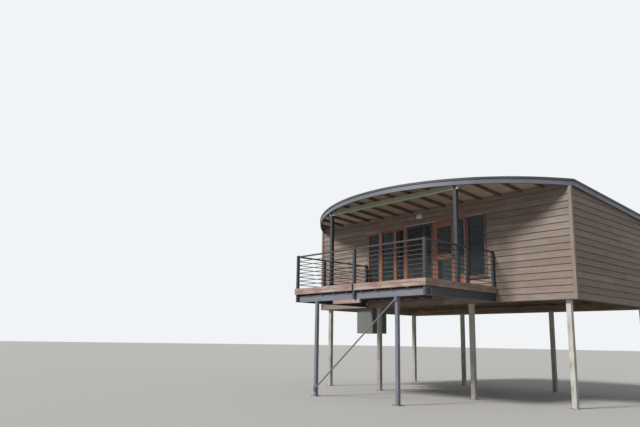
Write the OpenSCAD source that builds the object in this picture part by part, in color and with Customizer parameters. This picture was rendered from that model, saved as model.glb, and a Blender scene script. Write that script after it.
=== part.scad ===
// Stilt house: a timber cabin on slim stilts with a bow-fronted verandah roof.
// Millimetres. +X along the front wall, +Y towards the back, +Z up.
// The origin is on the lowest ground, under the centre of the whole outline.

/* [Site] */
// Height of the deck surface above the lowest ground
floor_z = 3100; // [2400:50:4000]
// Distance between the two steel stilts under the deck
stilt_span = 3090; // [2400:10:4000]
// Side of the square steel stilts under the deck
front_stilt_side = 90; // [60:5:125]
// Side of the square timber stilts under the house
house_stilt_side = 125; // [90:5:200]

/* [House] */
// Width of the cabin along its front wall
house_w = 9500; // [8600:100:12000]
// Depth of the cabin from its front wall to its back wall
house_d = 5400; // [4000:100:6400]
// Thickness of the boarded outside walls
wall_t = 120; // [110:5:200]
// Height of the heads of the doors and windows above the floor
head_h = 2120; // [2000:10:2140]

/* [Deck] */
// Width of the deck along the wall
deck_w = 5020; // [4800:20:6000]
// Depth of the deck from its edge to the wall
deck_d = 3120; // [2600:20:4000]
// Height of the balustrade rail above the deck
rail_h = 1000; // [900:10:1200]
// Side of the square balustrade posts
rail_post_side = 75; // [50:5:100]
// Diameter of the balustrade rods
rod_d = 20; // [8:1:30]
// Number of rods in each balustrade bay
rod_count = 7; // [4:1:9]

/* [Roof] */
// Height of the rafters' underside above the deck at the bow's front
eave_h = 2670; // [2600:10:3000]
// Fall of the roof towards the back in degrees
roof_fall = 3.5; // [0.5:0.1:4.5]
// Distance of the bow's front behind the deck's edge
bow_setback = 830; // [300:10:1100]
// Depth of the bow, from its front to where it meets the roof's sides
bow_depth = 2380; // [1600:20:3000]
// Distance of the verandah beam behind the deck's edge
beam_setback = 1447; // [1300:1:2000]
// Overhang of the roof past the side and back walls
roof_overhang = 60; // [50:5:300]
// Side of the square steel roof posts
roof_post_side = 100; // [75:5:125]

/* [Door] */
// Width of the hinged door leaf
door_w = 800; // [720:10:900]
// Thickness of the door leaf
door_t = 40; // [35:1:50]
// Opening angle of the door leaf, 0 is closed
door_angle = 0; // [0:5:95]

/* [Hidden] */
// Part to draw

// Gap left between pieces that meet, and the reach of a cutting shape past a face
fit = 1;
past = 10;

// Heights of the floor build-up
board_t = 25;
joist_t = 45;
house_joist_h = 190;
bearer_h = 200;
bearer_t = 90;
joist_top = floor_z - board_t;
joist_z = joist_top - house_joist_h;
bearer_z = joist_z - bearer_h;
wall_foot = bearer_z - 15;

// Deck edge: two boards, one above the other, over a shadow gap and a steel channel
edge_board_h = 88;
edge_board_gap = 4;
edge_board_t = 30;
band_h = 2 * edge_board_h + edge_board_gap;
shadow_gap = 45;
steel_h = 180;
steel_b = 75;
steel_web = 8;
steel_flange = 12;
steel_top = floor_z - band_h - shadow_gap;
steel_z = steel_top - steel_h;

// Places along Y, from the deck's front edge to the back of the roof
sheet_out = 20;
total_d = deck_d + house_d + roof_overhang + sheet_out;
front_y = -total_d / 2;
wall_y = front_y + deck_d;
inner_y = wall_y + wall_t;
back_y = wall_y + house_d;
beam_y = front_y + beam_setback;
bow_y = front_y + bow_setback;
roof_back_y = back_y + roof_overhang;

// Line of the balustrade and of what stands on it
rail_inset = edge_board_t + 3 + rail_post_side / 2;
rail_x = deck_w / 2 - rail_inset;
rail_y = front_y + rail_inset;
steel_y = rail_y + rail_post_side / 2 + fit;
steel_x = rail_x + rail_post_side / 2;

// Roof, set out in a frame that tilts with it
rafter_h = 85;
rafter_t = 45;
rafter_pitch = 640;
rafter_shift = 180;
lining_t = 10;
sheet_t = 30;
fascia_t = 30;
fascia_drop = 55;
fascia_h = fascia_drop + rafter_h + lining_t;
roof_half = house_w / 2 + roof_overhang;
bow_r = (roof_half * roof_half + bow_depth * bow_depth) / (2 * bow_depth);
bow_cy = bow_y + bow_r;
eave_z = floor_z + eave_h;
beam_h = 145;
beam_t = 70;
beam_end_gap = 8;
beam_top = eave_z - (beam_setback - bow_setback + beam_t / 2) * tan(roof_fall) - fit;
clear_above = 3000;

// Openings in the front wall, left to right: ends along X
glazed_x = [-2440, -700];
screen_x = [-700, 330];
door_x = [330, 1530];
tall_x = [1530, 2260];
tall_sill_h = 300;
head_z = floor_z + head_h;
frame_d = 100;
frame_y = wall_y + (wall_t - frame_d) / 2;
glass_t = 8;

// Door
leaf_gap = 6;
door_jamb = 40;
door_left = door_x[0] + door_jamb + leaf_gap;
door_right = door_left + door_w;
door_post_x = door_right + leaf_gap;
leaf_z = floor_z + 12;
leaf_h = head_z - door_jamb - leaf_gap - leaf_z;
stile_w = 130;
top_rail_h = 130;
lock_rail_h = 150;
lock_rail_z = 930;
bottom_rail_h = 200;
hinge_r = 8;
hinge_clear = 5;
hinge_y = frame_y - hinge_r - hinge_clear;
hinge_h = 100;

// Colours for each kind of material
STEEL = [0.16, 0.20, 0.24];
PALE_STEEL = [0.42, 0.47, 0.53];
CEDAR = [0.55, 0.28, 0.14];
BROWN = [0.30, 0.20, 0.19];
BOARDS = [0.38, 0.29, 0.23];
DECKING = [0.52, 0.32, 0.25];
PINE = [0.50, 0.40, 0.28];
PALE_GREEN = [0.55, 0.60, 0.46];
SHEET = [0.30, 0.33, 0.36];
GLASS = [0.30, 0.42, 0.52, 0.35];
WHITE = [0.88, 0.86, 0.80];

// Box between two corners
module box(a, b) {
  translate(a)
    cube([b[0] - a[0], b[1] - a[1], b[2] - a[2]]);
}

// Square tube from z to top
module tube(x, y, side, z, top, wall) {
  translate([x, y, z])
    linear_extrude(top - z)
      difference() {
        square(side, center = true);
        square(side - 2 * wall, center = true);
      }
}

// Square solid post from z to top
module post(x, y, side, z, top) {
  translate([x - side / 2, y - side / 2, z])
    cube([side, side, top - z]);
}

// Parallel-flange channel section, its web on the left
module channel_section(h, b) {
  difference() {
    square([b, h]);
    translate([steel_web, steel_flange])
      square([b, h - 2 * steel_flange]);
  }
}

// Base plate under a stilt
plate_side = 220;
plate_t = 16;
module base_plate(x, y) {
  translate([x - plate_side / 2, y - plate_side / 2, 0])
    cube([plate_side, plate_side, plate_t]);
}

stilt_shift = -75;
stilt_xs = [stilt_shift - stilt_span / 2, stilt_shift + stilt_span / 2];
stilt_y = steel_y + front_stilt_side / 2;
module front_stilts() {
  color(PALE_STEEL)
    for (x = stilt_xs) {
      base_plate(x, stilt_y);
      tube(x, stilt_y, front_stilt_side, plate_t, steel_z, 6);
    }
}

end_stilt_x = house_w / 2 - 300;
house_stilt_xs = [-end_stilt_x, -2060, 1545, end_stilt_x];
middle_row_y = wall_y + 200;
back_row_y = back_y - 500;
module stilt_row(y) {
  for (x = house_stilt_xs) {
    base_plate(x, y);
    post(x, y, house_stilt_side, plate_t, bearer_z);
  }
}

module middle_stilts() {
  color(PINE) stilt_row(middle_row_y);
}

module back_stilts() {
  color(PINE) stilt_row(back_row_y);
}

// Brace tube across the stilts' fronts, from the right one's head to the left one's foot
brace_d = 42;
brace_head_drop = 55;
brace_foot = 190;
module stilt_brace() {
  run = stilt_xs[1] - stilt_xs[0];
  rise = steel_z - brace_head_drop - brace_foot;
  color(PALE_STEEL)
    translate([stilt_xs[0], stilt_y - front_stilt_side / 2 - brace_d / 2, brace_foot])
      rotate([0, atan2(run, rise), 0])
        cylinder(h = sqrt(run * run + rise * rise), d = brace_d, $fn = 48);
}

bearer_x = house_w / 2 - wall_t - fit;
module bearers() {
  color(PINE)
    for (y = [middle_row_y, back_row_y])
      box([-bearer_x, y - bearer_t / 2, bearer_z], [bearer_x, y + bearer_t / 2, joist_z]);
}

house_joist_pitch = 600;
module floor_joists() {
  n = floor((2 * bearer_x - joist_t) / house_joist_pitch);
  color(PINE)
    for (i = [0 : n]) {
      x = (i - n / 2) * house_joist_pitch;
      box([x - joist_t / 2, inner_y + fit, joist_z],
        [x + joist_t / 2, back_y - wall_t - fit, joist_top]);
    }
}

module house_floor() {
  color(DECKING)
    box([-bearer_x, inner_y + fit, joist_top], [bearer_x, back_y - wall_t - fit, floor_z]);
}

// Panelled box that hangs from the joists under the front of the cabin
cabinet_x = [-3070, -2340];
cabinet_h = 850;
cabinet_d = 700;
cabinet_wall = 20;
module underfloor_cabinet() {
  top = bearer_z - fit;
  foot = top - cabinet_h;
  y = middle_row_y - bearer_t / 2;
  w = cabinet_wall;
  color(PALE_STEEL)
    difference() {
      box([cabinet_x[0], y, foot], [cabinet_x[1], y + cabinet_d, top]);
      box([cabinet_x[0] + w, y + w, foot + w], [cabinet_x[1] - w, y + cabinet_d - w, top - w]);
    }
}

// Channel beam under the deck's front edge, its flanges pointing back
module deck_front_beam() {
  color(PALE_STEEL)
    translate([-steel_x, steel_y, steel_z])
      rotate([90, 0, 90])
        linear_extrude(2 * steel_x)
          channel_section(steel_h, steel_b);
}

// Channel beams under the deck's sides, their flanges pointing in
module deck_side_beams() {
  color(STEEL)
    for (s = [0, 1])
      mirror([s, 0, 0])
        translate([steel_x, wall_y - fit, steel_z])
          rotate([90, 0, 0])
            mirror([1, 0, 0])
              linear_extrude(wall_y - steel_y - steel_b - 2 * fit)
                channel_section(steel_h, steel_b);
}

// Timber bolted under the front beam, left of the middle post
packer_x = [-900, 160];
packer_h = 110;
module beam_packer() {
  color(DECKING)
    box([packer_x[0], steel_y, steel_z - packer_h], [packer_x[1], steel_y + steel_b, steel_z]);
}

// Room left for the three balustrade posts that run down over the front beam, open to the front
module front_post_holes() {
  reach = half_post + fit;
  for (x = [-rail_x, 0, rail_x])
    box([x - reach, front_y, steel_z], [x + reach, rail_y + reach, floor_z + past]);
}

// Joists that lie on the steel beams and stop against the edge boards
rim_x = steel_x - joist_t / 2;
module deck_joists() {
  bays = 9;
  color(PINE)
    difference() {
      for (i = [0 : bays]) {
        x = (i / bays * 2 - 1) * rim_x;
        box([x - joist_t / 2, front_y + edge_board_t, steel_top],
          [x + joist_t / 2, wall_y - fit, joist_top]);
      }
      front_post_holes();
    }
}

// One edge board on each side and two along the front, which stop on both sides of the middle post
module edge_board_ring(z) {
  top = z + edge_board_h;
  t = edge_board_t;
  half = deck_w / 2;
  for (s = [0, 1])
    mirror([s, 0, 0]) {
      box([half_post + fit, front_y, z], [half, front_y + t, top]);
      box([half - t, front_y + t + fit, z], [half, wall_y, top]);
    }
}

module deck_edge_boards() {
  color(DECKING) {
    edge_board_ring(floor_z - edge_board_h);
    edge_board_ring(floor_z - band_h);
  }
}

module deck_boards() {
  x = deck_w / 2 - edge_board_t;
  color(DECKING)
    difference() {
      box([-x, front_y + edge_board_t, joist_top], [x, wall_y, floor_z]);
      front_post_holes();
    }
}

// Tilts what is drawn about the rafters' underside at the bow's front
module roof_frame() {
  translate([0, bow_y, eave_z])
    rotate([-roof_fall, 0, 0])
      translate([0, -bow_y, 0])
        children();
}

// Outline of the roof in plan, its two front corners rounded off by the bow
module roof_outline(inset) {
  difference() {
    translate([-roof_half + inset, bow_y + inset])
      square([2 * (roof_half - inset), roof_back_y - bow_y - 2 * inset]);
    difference() {
      translate([-house_w, front_y])
        square([2 * house_w, bow_cy - front_y]);
      translate([0, bow_cy])
        circle(r = bow_r - inset, $fn = 240);
    }
  }
}

// Rafters along Y between the side walls, drawn a little wider for the slots in the walls
rafter_reach = house_w / 2 - wall_t - rafter_t;
rafter_rows_each_way = floor(rafter_reach / rafter_pitch) + 1;
module rafter_rows(extra) {
  for (i = [-rafter_rows_each_way : rafter_rows_each_way]) {
    x = rafter_shift + i * rafter_pitch;
    if (abs(x) < rafter_reach)
      translate([x - rafter_t / 2 - extra, bow_y - past])
        square([rafter_t + 2 * extra, roof_back_y - bow_y + 2 * past]);
  }
}

module rafters() {
  color(PINE)
    roof_frame()
      linear_extrude(rafter_h)
        intersection() {
          roof_outline(fascia_t + fit);
          rafter_rows(0);
        }
}

module roof_lining() {
  color(PINE)
    roof_frame()
      translate([0, 0, rafter_h + fit])
        linear_extrude(lining_t - fit)
          roof_outline(fascia_t + fit);
}

module roof_sheet() {
  color(SHEET)
    roof_frame()
      translate([0, 0, rafter_h + lining_t + fit])
        linear_extrude(sheet_t)
          roof_outline(-sheet_out);
}

// Thin band along the roof's edge
module fascia_band() {
  difference() {
    roof_outline(0);
    roof_outline(fascia_t);
  }
}

fascia_split_y = bow_y + bow_depth + fascia_t;
module front_fascia() {
  color(PALE_STEEL)
    roof_frame()
      translate([0, 0, -fascia_drop])
        linear_extrude(fascia_h)
          intersection() {
            fascia_band();
            translate([-house_w, bow_y - past])
              square([2 * house_w, fascia_split_y - bow_y + past]);
          }
}

module side_and_back_fascias() {
  color(PALE_STEEL)
    roof_frame()
      translate([0, 0, -fascia_drop])
        linear_extrude(fascia_h)
          intersection() {
            fascia_band();
            translate([-house_w, fascia_split_y + fit])
              square([2 * house_w, total_d]);
          }
}

// Cuts walls off under the lining, leaving slots for the rafters and room for the fascias
module under_roof() {
  difference() {
    children();
    roof_frame() {
      translate([-house_w, -total_d, rafter_h])
        cube([2 * house_w, 3 * total_d, clear_above]);
      linear_extrude(rafter_h + past)
        rafter_rows(fit);
      translate([0, 0, -fascia_drop - fit])
        linear_extrude(fascia_h + past)
          difference() {
            translate([-house_w, -total_d])
              square([2 * house_w, 3 * total_d]);
            roof_outline(fascia_t + 2 * fit);
          }
    }
  }
}

wall_top = eave_z + rafter_h;

// Length of the front wall
module front_piece(x0, x1, z0, z1) {
  box([x0, wall_y, z0], [x1, inner_y, z1]);
}

module front_wall_left() {
  color(BOARDS) front_piece(-house_w / 2, glazed_x[0], wall_foot, head_z);
}

module front_wall_right() {
  color(BOARDS) front_piece(tall_x[1], house_w / 2, wall_foot, head_z);
}

// Wall below the floor between the side lengths, and the tall window's sill
module front_wall_base() {
  color(BOARDS)
    union() {
      front_piece(glazed_x[0], tall_x[1], wall_foot, floor_z);
      front_piece(tall_x[0], tall_x[1], wall_foot, floor_z + tall_sill_h);
    }
}

module front_wall_head() {
  color(BOARDS)
    under_roof()
      front_piece(-house_w / 2, house_w / 2, head_z, wall_top);
}

module side_wall(s) {
  color(BOARDS)
    under_roof()
      mirror([s, 0, 0])
        box([house_w / 2 - wall_t, inner_y, wall_foot], [house_w / 2, back_y - wall_t, wall_top]);
}

module left_wall() {
  side_wall(1);
}

module right_wall() {
  side_wall(0);
}

back_window_xs = [-2600, 2600];
back_window_w = 1500;
back_sill_h = 900;
back_head_h = 2000;
module back_wall() {
  half = back_window_w / 2;
  color(BOARDS)
    under_roof()
      difference() {
        box([-house_w / 2, back_y - wall_t, wall_foot], [house_w / 2, back_y, wall_top]);
        for (x = back_window_xs)
          box([x - half, back_y - wall_t - past, floor_z + back_sill_h],
            [x + half, back_y + past, floor_z + back_head_h]);
      }
}

// Angle of two trim boards on one corner of the cabin, set out for the back right corner
trim_w = 70;
trim_t = 20;
module corner_trim() {
  x = house_w / 2;
  box([x - trim_w, back_y, wall_foot], [x, back_y + trim_t, wall_top]);
  box([x, back_y - trim_w, wall_foot], [x + trim_t, back_y + trim_t, wall_top]);
}

module corner_trims() {
  mid_y = (wall_y + back_y) / 2;
  color(BOARDS)
    under_roof()
      for (sx = [0, 1])
        mirror([sx, 0, 0])
          for (sy = [0, 1])
            translate([0, mid_y, 0])
              mirror([0, sy, 0])
                translate([0, -mid_y, 0])
                  corner_trim();
}

roof_post_x = rail_x - 22;
module roof_posts() {
  color(STEEL)
    for (s = [-1, 1])
      tube(s * roof_post_x, beam_y, roof_post_side, floor_z, beam_top - beam_h, 5);
}

// The beam runs from fascia to fascia, as far as its front face allows
module verandah_beam() {
  x = sqrt(pow(bow_r - fascia_t, 2) - pow(bow_cy - beam_y + beam_t / 2, 2)) - beam_end_gap;
  color(PALE_GREEN)
    box([-x, beam_y - beam_t / 2, beam_top - beam_h], [x, beam_y + beam_t / 2, beam_top]);
}

// Clear openings of a frame along X: its ends x, its jambs w and its bars as [centre, width]
function lights(x, w, bars) =
  let (e = [x[0] + w[0], for (b = bars) each [b[0] - b[1] / 2, b[0] + b[1] / 2], x[1] - w[1]])
  [for (i = [0 : 2 : len(e) - 2]) [e[i], e[i + 1]]];

// Frame from z0 to z1 with head and sill rails of height r
module window_frame(x, z0, z1, w, r, bars) {
  difference() {
    box([x[0], frame_y, z0], [x[1], frame_y + frame_d, z1]);
    for (g = lights(x, w, bars))
      box([g[0], frame_y - past, z0 + r], [g[1], frame_y + frame_d + past, z1 - r]);
  }
}

// Panes that fill a frame's openings
module panes(x, z0, z1, w, r, bars) {
  y = frame_y + frame_d / 2;
  for (g = lights(x, w, bars))
    box([g[0], y - glass_t / 2, z0 + r], [g[1], y + glass_t / 2, z1 - r]);
}

glazed_jambs = [70, 130];
glazed_rail = 70;
glazed_bars = [[-1840, 150], [-1195, 110]];
module glazed_wall_frame() {
  color(CEDAR) window_frame(glazed_x, floor_z, head_z, glazed_jambs, glazed_rail, glazed_bars);
}

slim = 50;
screen_bars = [[12, slim]];
module screen_window_frame() {
  color(STEEL) window_frame(screen_x, floor_z, head_z, [slim, slim], slim, screen_bars);
}

// Frame of the doorway and of the sidelight on its right, which stands on a timber panel
sidelight_post = 60;
sidelight_x = [door_post_x + sidelight_post, door_x[1] - slim];
kick_panel_h = 430;
module door_frame() {
  color(CEDAR)
    difference() {
      box([door_x[0], frame_y, floor_z], [door_x[1], frame_y + frame_d, head_z]);
      box([door_x[0] + door_jamb, frame_y - past, floor_z - past],
        [door_post_x, frame_y + frame_d + past, head_z - door_jamb]);
      box([sidelight_x[0], frame_y - past, floor_z + kick_panel_h],
        [sidelight_x[1], frame_y + frame_d + past, head_z - slim]);
    }
}

tall_jambs = [110, 110];
tall_rail = 70;
module tall_window_frame() {
  color(BROWN)
    window_frame(tall_x, floor_z + tall_sill_h, head_z, tall_jambs, tall_rail, []);
}

// Places what is drawn for the front wall into each back window
module at_back_windows() {
  for (x = back_window_xs)
    translate([x, house_d - wall_t, 0])
      children();
}

back_window_x = [-back_window_w / 2, back_window_w / 2];
module back_window_frames() {
  color(BROWN)
    at_back_windows()
      window_frame(back_window_x, floor_z + back_sill_h, floor_z + back_head_h, [slim, slim], slim,
        [[0, slim]]);
}

module window_glass() {
  color(GLASS) {
    panes(glazed_x, floor_z, head_z, glazed_jambs, glazed_rail, glazed_bars);
    panes(screen_x, floor_z, head_z, [slim, slim], slim, screen_bars);
    panes(sidelight_x, floor_z + kick_panel_h - slim, head_z, [0, 0], slim, []);
    panes(tall_x, floor_z + tall_sill_h, head_z, tall_jambs, tall_rail, []);
    at_back_windows()
      panes(back_window_x, floor_z + back_sill_h, floor_z + back_head_h, [slim, slim], slim,
        [[0, slim]]);
  }
}

// Sloping metal flashings over the heads
flashing_out = 50;
flashing_h = 40;
flashing_t = 12;
flashing_xs = [[-2440, -1970], [-700, 500], [1600, 2160]];
module head_flashings() {
  color(WHITE)
    for (x = flashing_xs)
      translate([x[0], wall_y, head_z])
        rotate([90, 0, 90])
          linear_extrude(x[1] - x[0])
            polygon([[0, 0], [0, flashing_h], [-flashing_out, flashing_t], [-flashing_out, 0]]);
}

// Bulkhead light: a base and a smaller cover, both with round ends
light_x = -130;
light_z = floor_z + 2378;
light_w = 270;
light_h = 160;
module round_ended(w, h) {
  square([w - h, h], center = true);
  for (s = [-1, 1])
    translate([s * (w - h) / 2, 0])
      circle(d = h, $fn = 64);
}

module wall_light() {
  base_t = 25;
  rim = 12;
  color(WHITE)
    translate([light_x, wall_y, light_z])
      rotate([90, 0, 0])
        union() {
          linear_extrude(base_t)
            round_ended(light_w, light_h);
          linear_extrude(3 * base_t)
            round_ended(light_w - 2 * rim, light_h - 2 * rim);
        }
}

// Balustrade
rail_w = 60;
rail_t = 40;
post_cap = 20;
tube_wall = 5;
rail_z = floor_z + rail_h - rail_t;
half_post = rail_post_side / 2;
left_post_y = rail_y + 1090;
right_post_y = rail_y + 1790;
end_post_y = wall_y - half_post - fit;
module balustrade_posts() {
  color(STEEL) {
    for (x = [-rail_x, 0, rail_x])
      tube(x, rail_y, rail_post_side, steel_z, floor_z + rail_h + post_cap, tube_wall);
    for (p = [[-rail_x, left_post_y], [-rail_x, end_post_y], [rail_x, right_post_y], [rail_x, end_post_y]])
      tube(p[0], p[1], rail_post_side, floor_z, rail_z, tube_wall);
  }
}

// Stretches of each side rail, before and behind the roof post
roof_post_gap = roof_post_side / 2 + fit;
side_rail_ys = [[rail_y + half_post + fit, beam_y - roof_post_gap], [beam_y + roof_post_gap, wall_y - fit]];
module balustrade_rails() {
  top = rail_z + rail_t;
  color(STEEL)
    for (s = [-1, 1]) {
      translate([s * rail_x / 2, rail_y, rail_z + rail_t / 2])
        cube([rail_x - rail_post_side - 2 * fit, rail_w, rail_t], center = true);
      for (y = side_rail_ys)
        box([s * rail_x - rail_w / 2, y[0], rail_z], [s * rail_x + rail_w / 2, y[1], top]);
    }
}

rod_zs = [for (i = [1 : rod_count]) floor_z + i * (rail_h - rail_t) / (rod_count + 1)];
module rods_along_x(x0, x1, y) {
  for (z = rod_zs)
    translate([x0, y, z])
      rotate([0, 90, 0])
        cylinder(h = x1 - x0, d = rod_d, $fn = 24);
}

module rods_along_y(y0, y1, x) {
  for (z = rod_zs)
    translate([x, y0, z])
      rotate([-90, 0, 0])
        cylinder(h = y1 - y0, d = rod_d, $fn = 24);
}

module front_rods() {
  color(PALE_STEEL) {
    rods_along_x(-rail_x + half_post, -half_post, rail_y);
    rods_along_x(half_post, rail_x - half_post, rail_y);
  }
}

// Rods of one side in three bays, between the corner, roof, middle and end posts
module side_bays(x, first, second) {
  rods_along_y(rail_y + half_post, first[0], x);
  rods_along_y(first[1], second[0], x);
  rods_along_y(second[1], end_post_y - half_post, x);
}

module side_rods() {
  roof_post = [beam_y - roof_post_side / 2, beam_y + roof_post_side / 2];
  color(STEEL) {
    side_bays(-rail_x, [left_post_y - half_post, left_post_y + half_post], roof_post);
    side_bays(rail_x, roof_post, [right_post_y - half_post, right_post_y + half_post]);
  }
}

// Swings the leaf and what it carries outwards about the hinges on its left edge
module on_door() {
  translate([door_left, hinge_y, 0])
    rotate([0, 0, -door_angle])
      translate([-door_left, -hinge_y, 0])
        children();
}

// Three hinges that stand off the leaf's outer face
hinge_end = 150;
hinge_flap = 45;
module door_hinges() {
  color(STEEL)
    on_door()
      for (z = [leaf_z + hinge_end, leaf_z + leaf_h / 2, leaf_z + leaf_h - hinge_end - hinge_h])
        union() {
          translate([door_left, hinge_y, z])
            cylinder(h = hinge_h, r = hinge_r, $fn = 48);
          box([door_left, frame_y - hinge_clear - 2, z], [door_left + hinge_flap, frame_y, z + hinge_h]);
        }
}

glass_low = [leaf_z + bottom_rail_h, leaf_z + lock_rail_z];
glass_high = [leaf_z + lock_rail_z + lock_rail_h, leaf_z + leaf_h - top_rail_h];
module door_leaf() {
  color(CEDAR)
    on_door()
      difference() {
        box([door_left, frame_y, leaf_z], [door_right, frame_y + door_t, leaf_z + leaf_h]);
        for (g = [glass_low, glass_high])
          box([door_left + stile_w, frame_y - past, g[0]],
            [door_right - stile_w, frame_y + door_t + past, g[1]]);
      }
}

module door_glass() {
  y = frame_y + door_t / 2 - glass_t / 2;
  color(GLASS)
    on_door()
      for (g = [glass_low, glass_high])
        box([door_left + stile_w, y, g[0]], [door_right - stile_w, y + glass_t, g[1]]);
}

// Round rose, its spindle and a lever that points to the hinges
rose_d = 52;
spindle_d = 20;
lever_out = 50;
lever_l = 130;
lever_h = 20;
lever_t = 14;
module door_handle() {
  x = door_right - stile_w / 2;
  z = leaf_z + lock_rail_z + lock_rail_h / 2;
  color(STEEL)
    on_door()
      union() {
        translate([x, frame_y, z])
          rotate([90, 0, 0]) {
            cylinder(h = 8, d = rose_d, $fn = 64);
            cylinder(h = lever_out, d = spindle_d, $fn = 48);
          }
        translate([x + spindle_d / 2 - lever_l, frame_y - lever_out - lever_t / 2, z - lever_h / 2])
          cube([lever_l, lever_t, lever_h]);
      }
}

front_stilts();
middle_stilts();
back_stilts();
stilt_brace();
bearers();
floor_joists();
house_floor();
underfloor_cabinet();
deck_front_beam();
deck_side_beams();
beam_packer();
deck_joists();
deck_edge_boards();
deck_boards();
front_wall_left();
front_wall_right();
front_wall_base();
front_wall_head();
left_wall();
right_wall();
back_wall();
corner_trims();
roof_posts();
verandah_beam();
rafters();
roof_lining();
roof_sheet();
front_fascia();
side_and_back_fascias();
glazed_wall_frame();
screen_window_frame();
door_frame();
tall_window_frame();
back_window_frames();
window_glass();
head_flashings();
wall_light();
balustrade_posts();
balustrade_rails();
front_rods();
side_rods();
door_leaf();
door_glass();
door_handle();
door_hinges();
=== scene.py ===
"""Looks of the stilt house: its finishes, and the boards, beads and fixings set on its solids.

Every length is in metres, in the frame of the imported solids: +X along the front wall, +Y to the back, +Z up.
"""

import logging
import math
import random
from abc import ABC, abstractmethod
from dataclasses import dataclass, replace
from enum import Enum
from typing import Any, Iterable, Optional, Sequence, Union

import bmesh
import bpy
from mathutils import Matrix, Vector

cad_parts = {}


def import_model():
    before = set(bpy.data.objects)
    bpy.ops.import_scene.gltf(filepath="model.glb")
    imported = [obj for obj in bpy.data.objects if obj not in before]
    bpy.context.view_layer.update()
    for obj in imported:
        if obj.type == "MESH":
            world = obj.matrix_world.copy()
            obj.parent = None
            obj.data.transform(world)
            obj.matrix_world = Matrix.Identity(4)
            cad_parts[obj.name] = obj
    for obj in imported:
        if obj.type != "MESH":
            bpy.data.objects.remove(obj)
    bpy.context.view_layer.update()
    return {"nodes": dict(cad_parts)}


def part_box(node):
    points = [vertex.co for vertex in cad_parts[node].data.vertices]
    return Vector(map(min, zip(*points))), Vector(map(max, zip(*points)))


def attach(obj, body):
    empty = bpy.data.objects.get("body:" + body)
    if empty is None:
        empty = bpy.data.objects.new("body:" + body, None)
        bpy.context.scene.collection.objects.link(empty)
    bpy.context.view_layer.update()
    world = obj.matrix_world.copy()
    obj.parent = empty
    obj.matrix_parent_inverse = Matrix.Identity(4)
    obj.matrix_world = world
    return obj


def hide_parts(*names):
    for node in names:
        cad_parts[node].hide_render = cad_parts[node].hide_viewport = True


LOG = logging.getLogger("stilt_house")
Colour = tuple[float, float, float]
Span = tuple[float, float]
Board = tuple[float, float, float]
Point = Sequence[float]
Vert = bmesh.types.BMVert
Verts = list[Vert]


class Grain(Enum):
    """Direction that a timber's grain or a rod runs in, as the number of its axis."""

    ALONG_X = 0
    ALONG_Y = 1
    ALONG_Z = 2


class Facing(Enum):
    """Side of the house that a wall faces, as quarter turns of the front wall."""

    FRONT = 0
    RIGHT = 1
    BACK = 2
    LEFT = 3

    def turned(self, low: Vector, high: Vector) -> tuple[Matrix, Span, Span]:
        """Turns a box until this side of it faces the front.

        Args:
            low: lowest corner of the box.
            high: highest corner of the box.

        Returns:
            The matrix that turns it back, its ends along X, and its front and back along Y.
        """
        turn = Matrix.Rotation(self.value * math.pi / 2, 4, "Z")
        corners = [turn.inverted() @ Vector((x, y, 0)) for x in (low.x, high.x) for y in (low.y, high.y)]
        xs, ys = [corner.x for corner in corners], [corner.y for corner in corners]
        return turn, (min(xs), max(xs)), (min(ys), max(ys))


class Wire:
    """A socket that takes part in arithmetic: an expression on wires adds its Math nodes."""

    def __init__(self, tree: "Tree", socket: bpy.types.NodeSocket) -> None:
        """Wraps an output socket of a tree."""
        self.tree = tree
        self.socket = socket

    def _math(self, operation: str, first: Any, second: Any) -> "Wire":
        """Adds one Math node and returns its result."""
        return self.tree.node("ShaderNodeMath", {"operation": operation}, {0: first, 1: second})

    def __add__(self, other: Any) -> "Wire":
        """Returns self + other."""
        return self._math("ADD", self, other)

    def __radd__(self, other: Any) -> "Wire":
        """Returns other + self."""
        return self._math("ADD", other, self)

    def __sub__(self, other: Any) -> "Wire":
        """Returns self - other."""
        return self._math("SUBTRACT", self, other)

    def __rsub__(self, other: Any) -> "Wire":
        """Returns other - self."""
        return self._math("SUBTRACT", other, self)

    def __mul__(self, other: Any) -> "Wire":
        """Returns self * other."""
        return self._math("MULTIPLY", self, other)

    def __rmul__(self, other: Any) -> "Wire":
        """Returns other * self."""
        return self._math("MULTIPLY", other, self)


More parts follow.
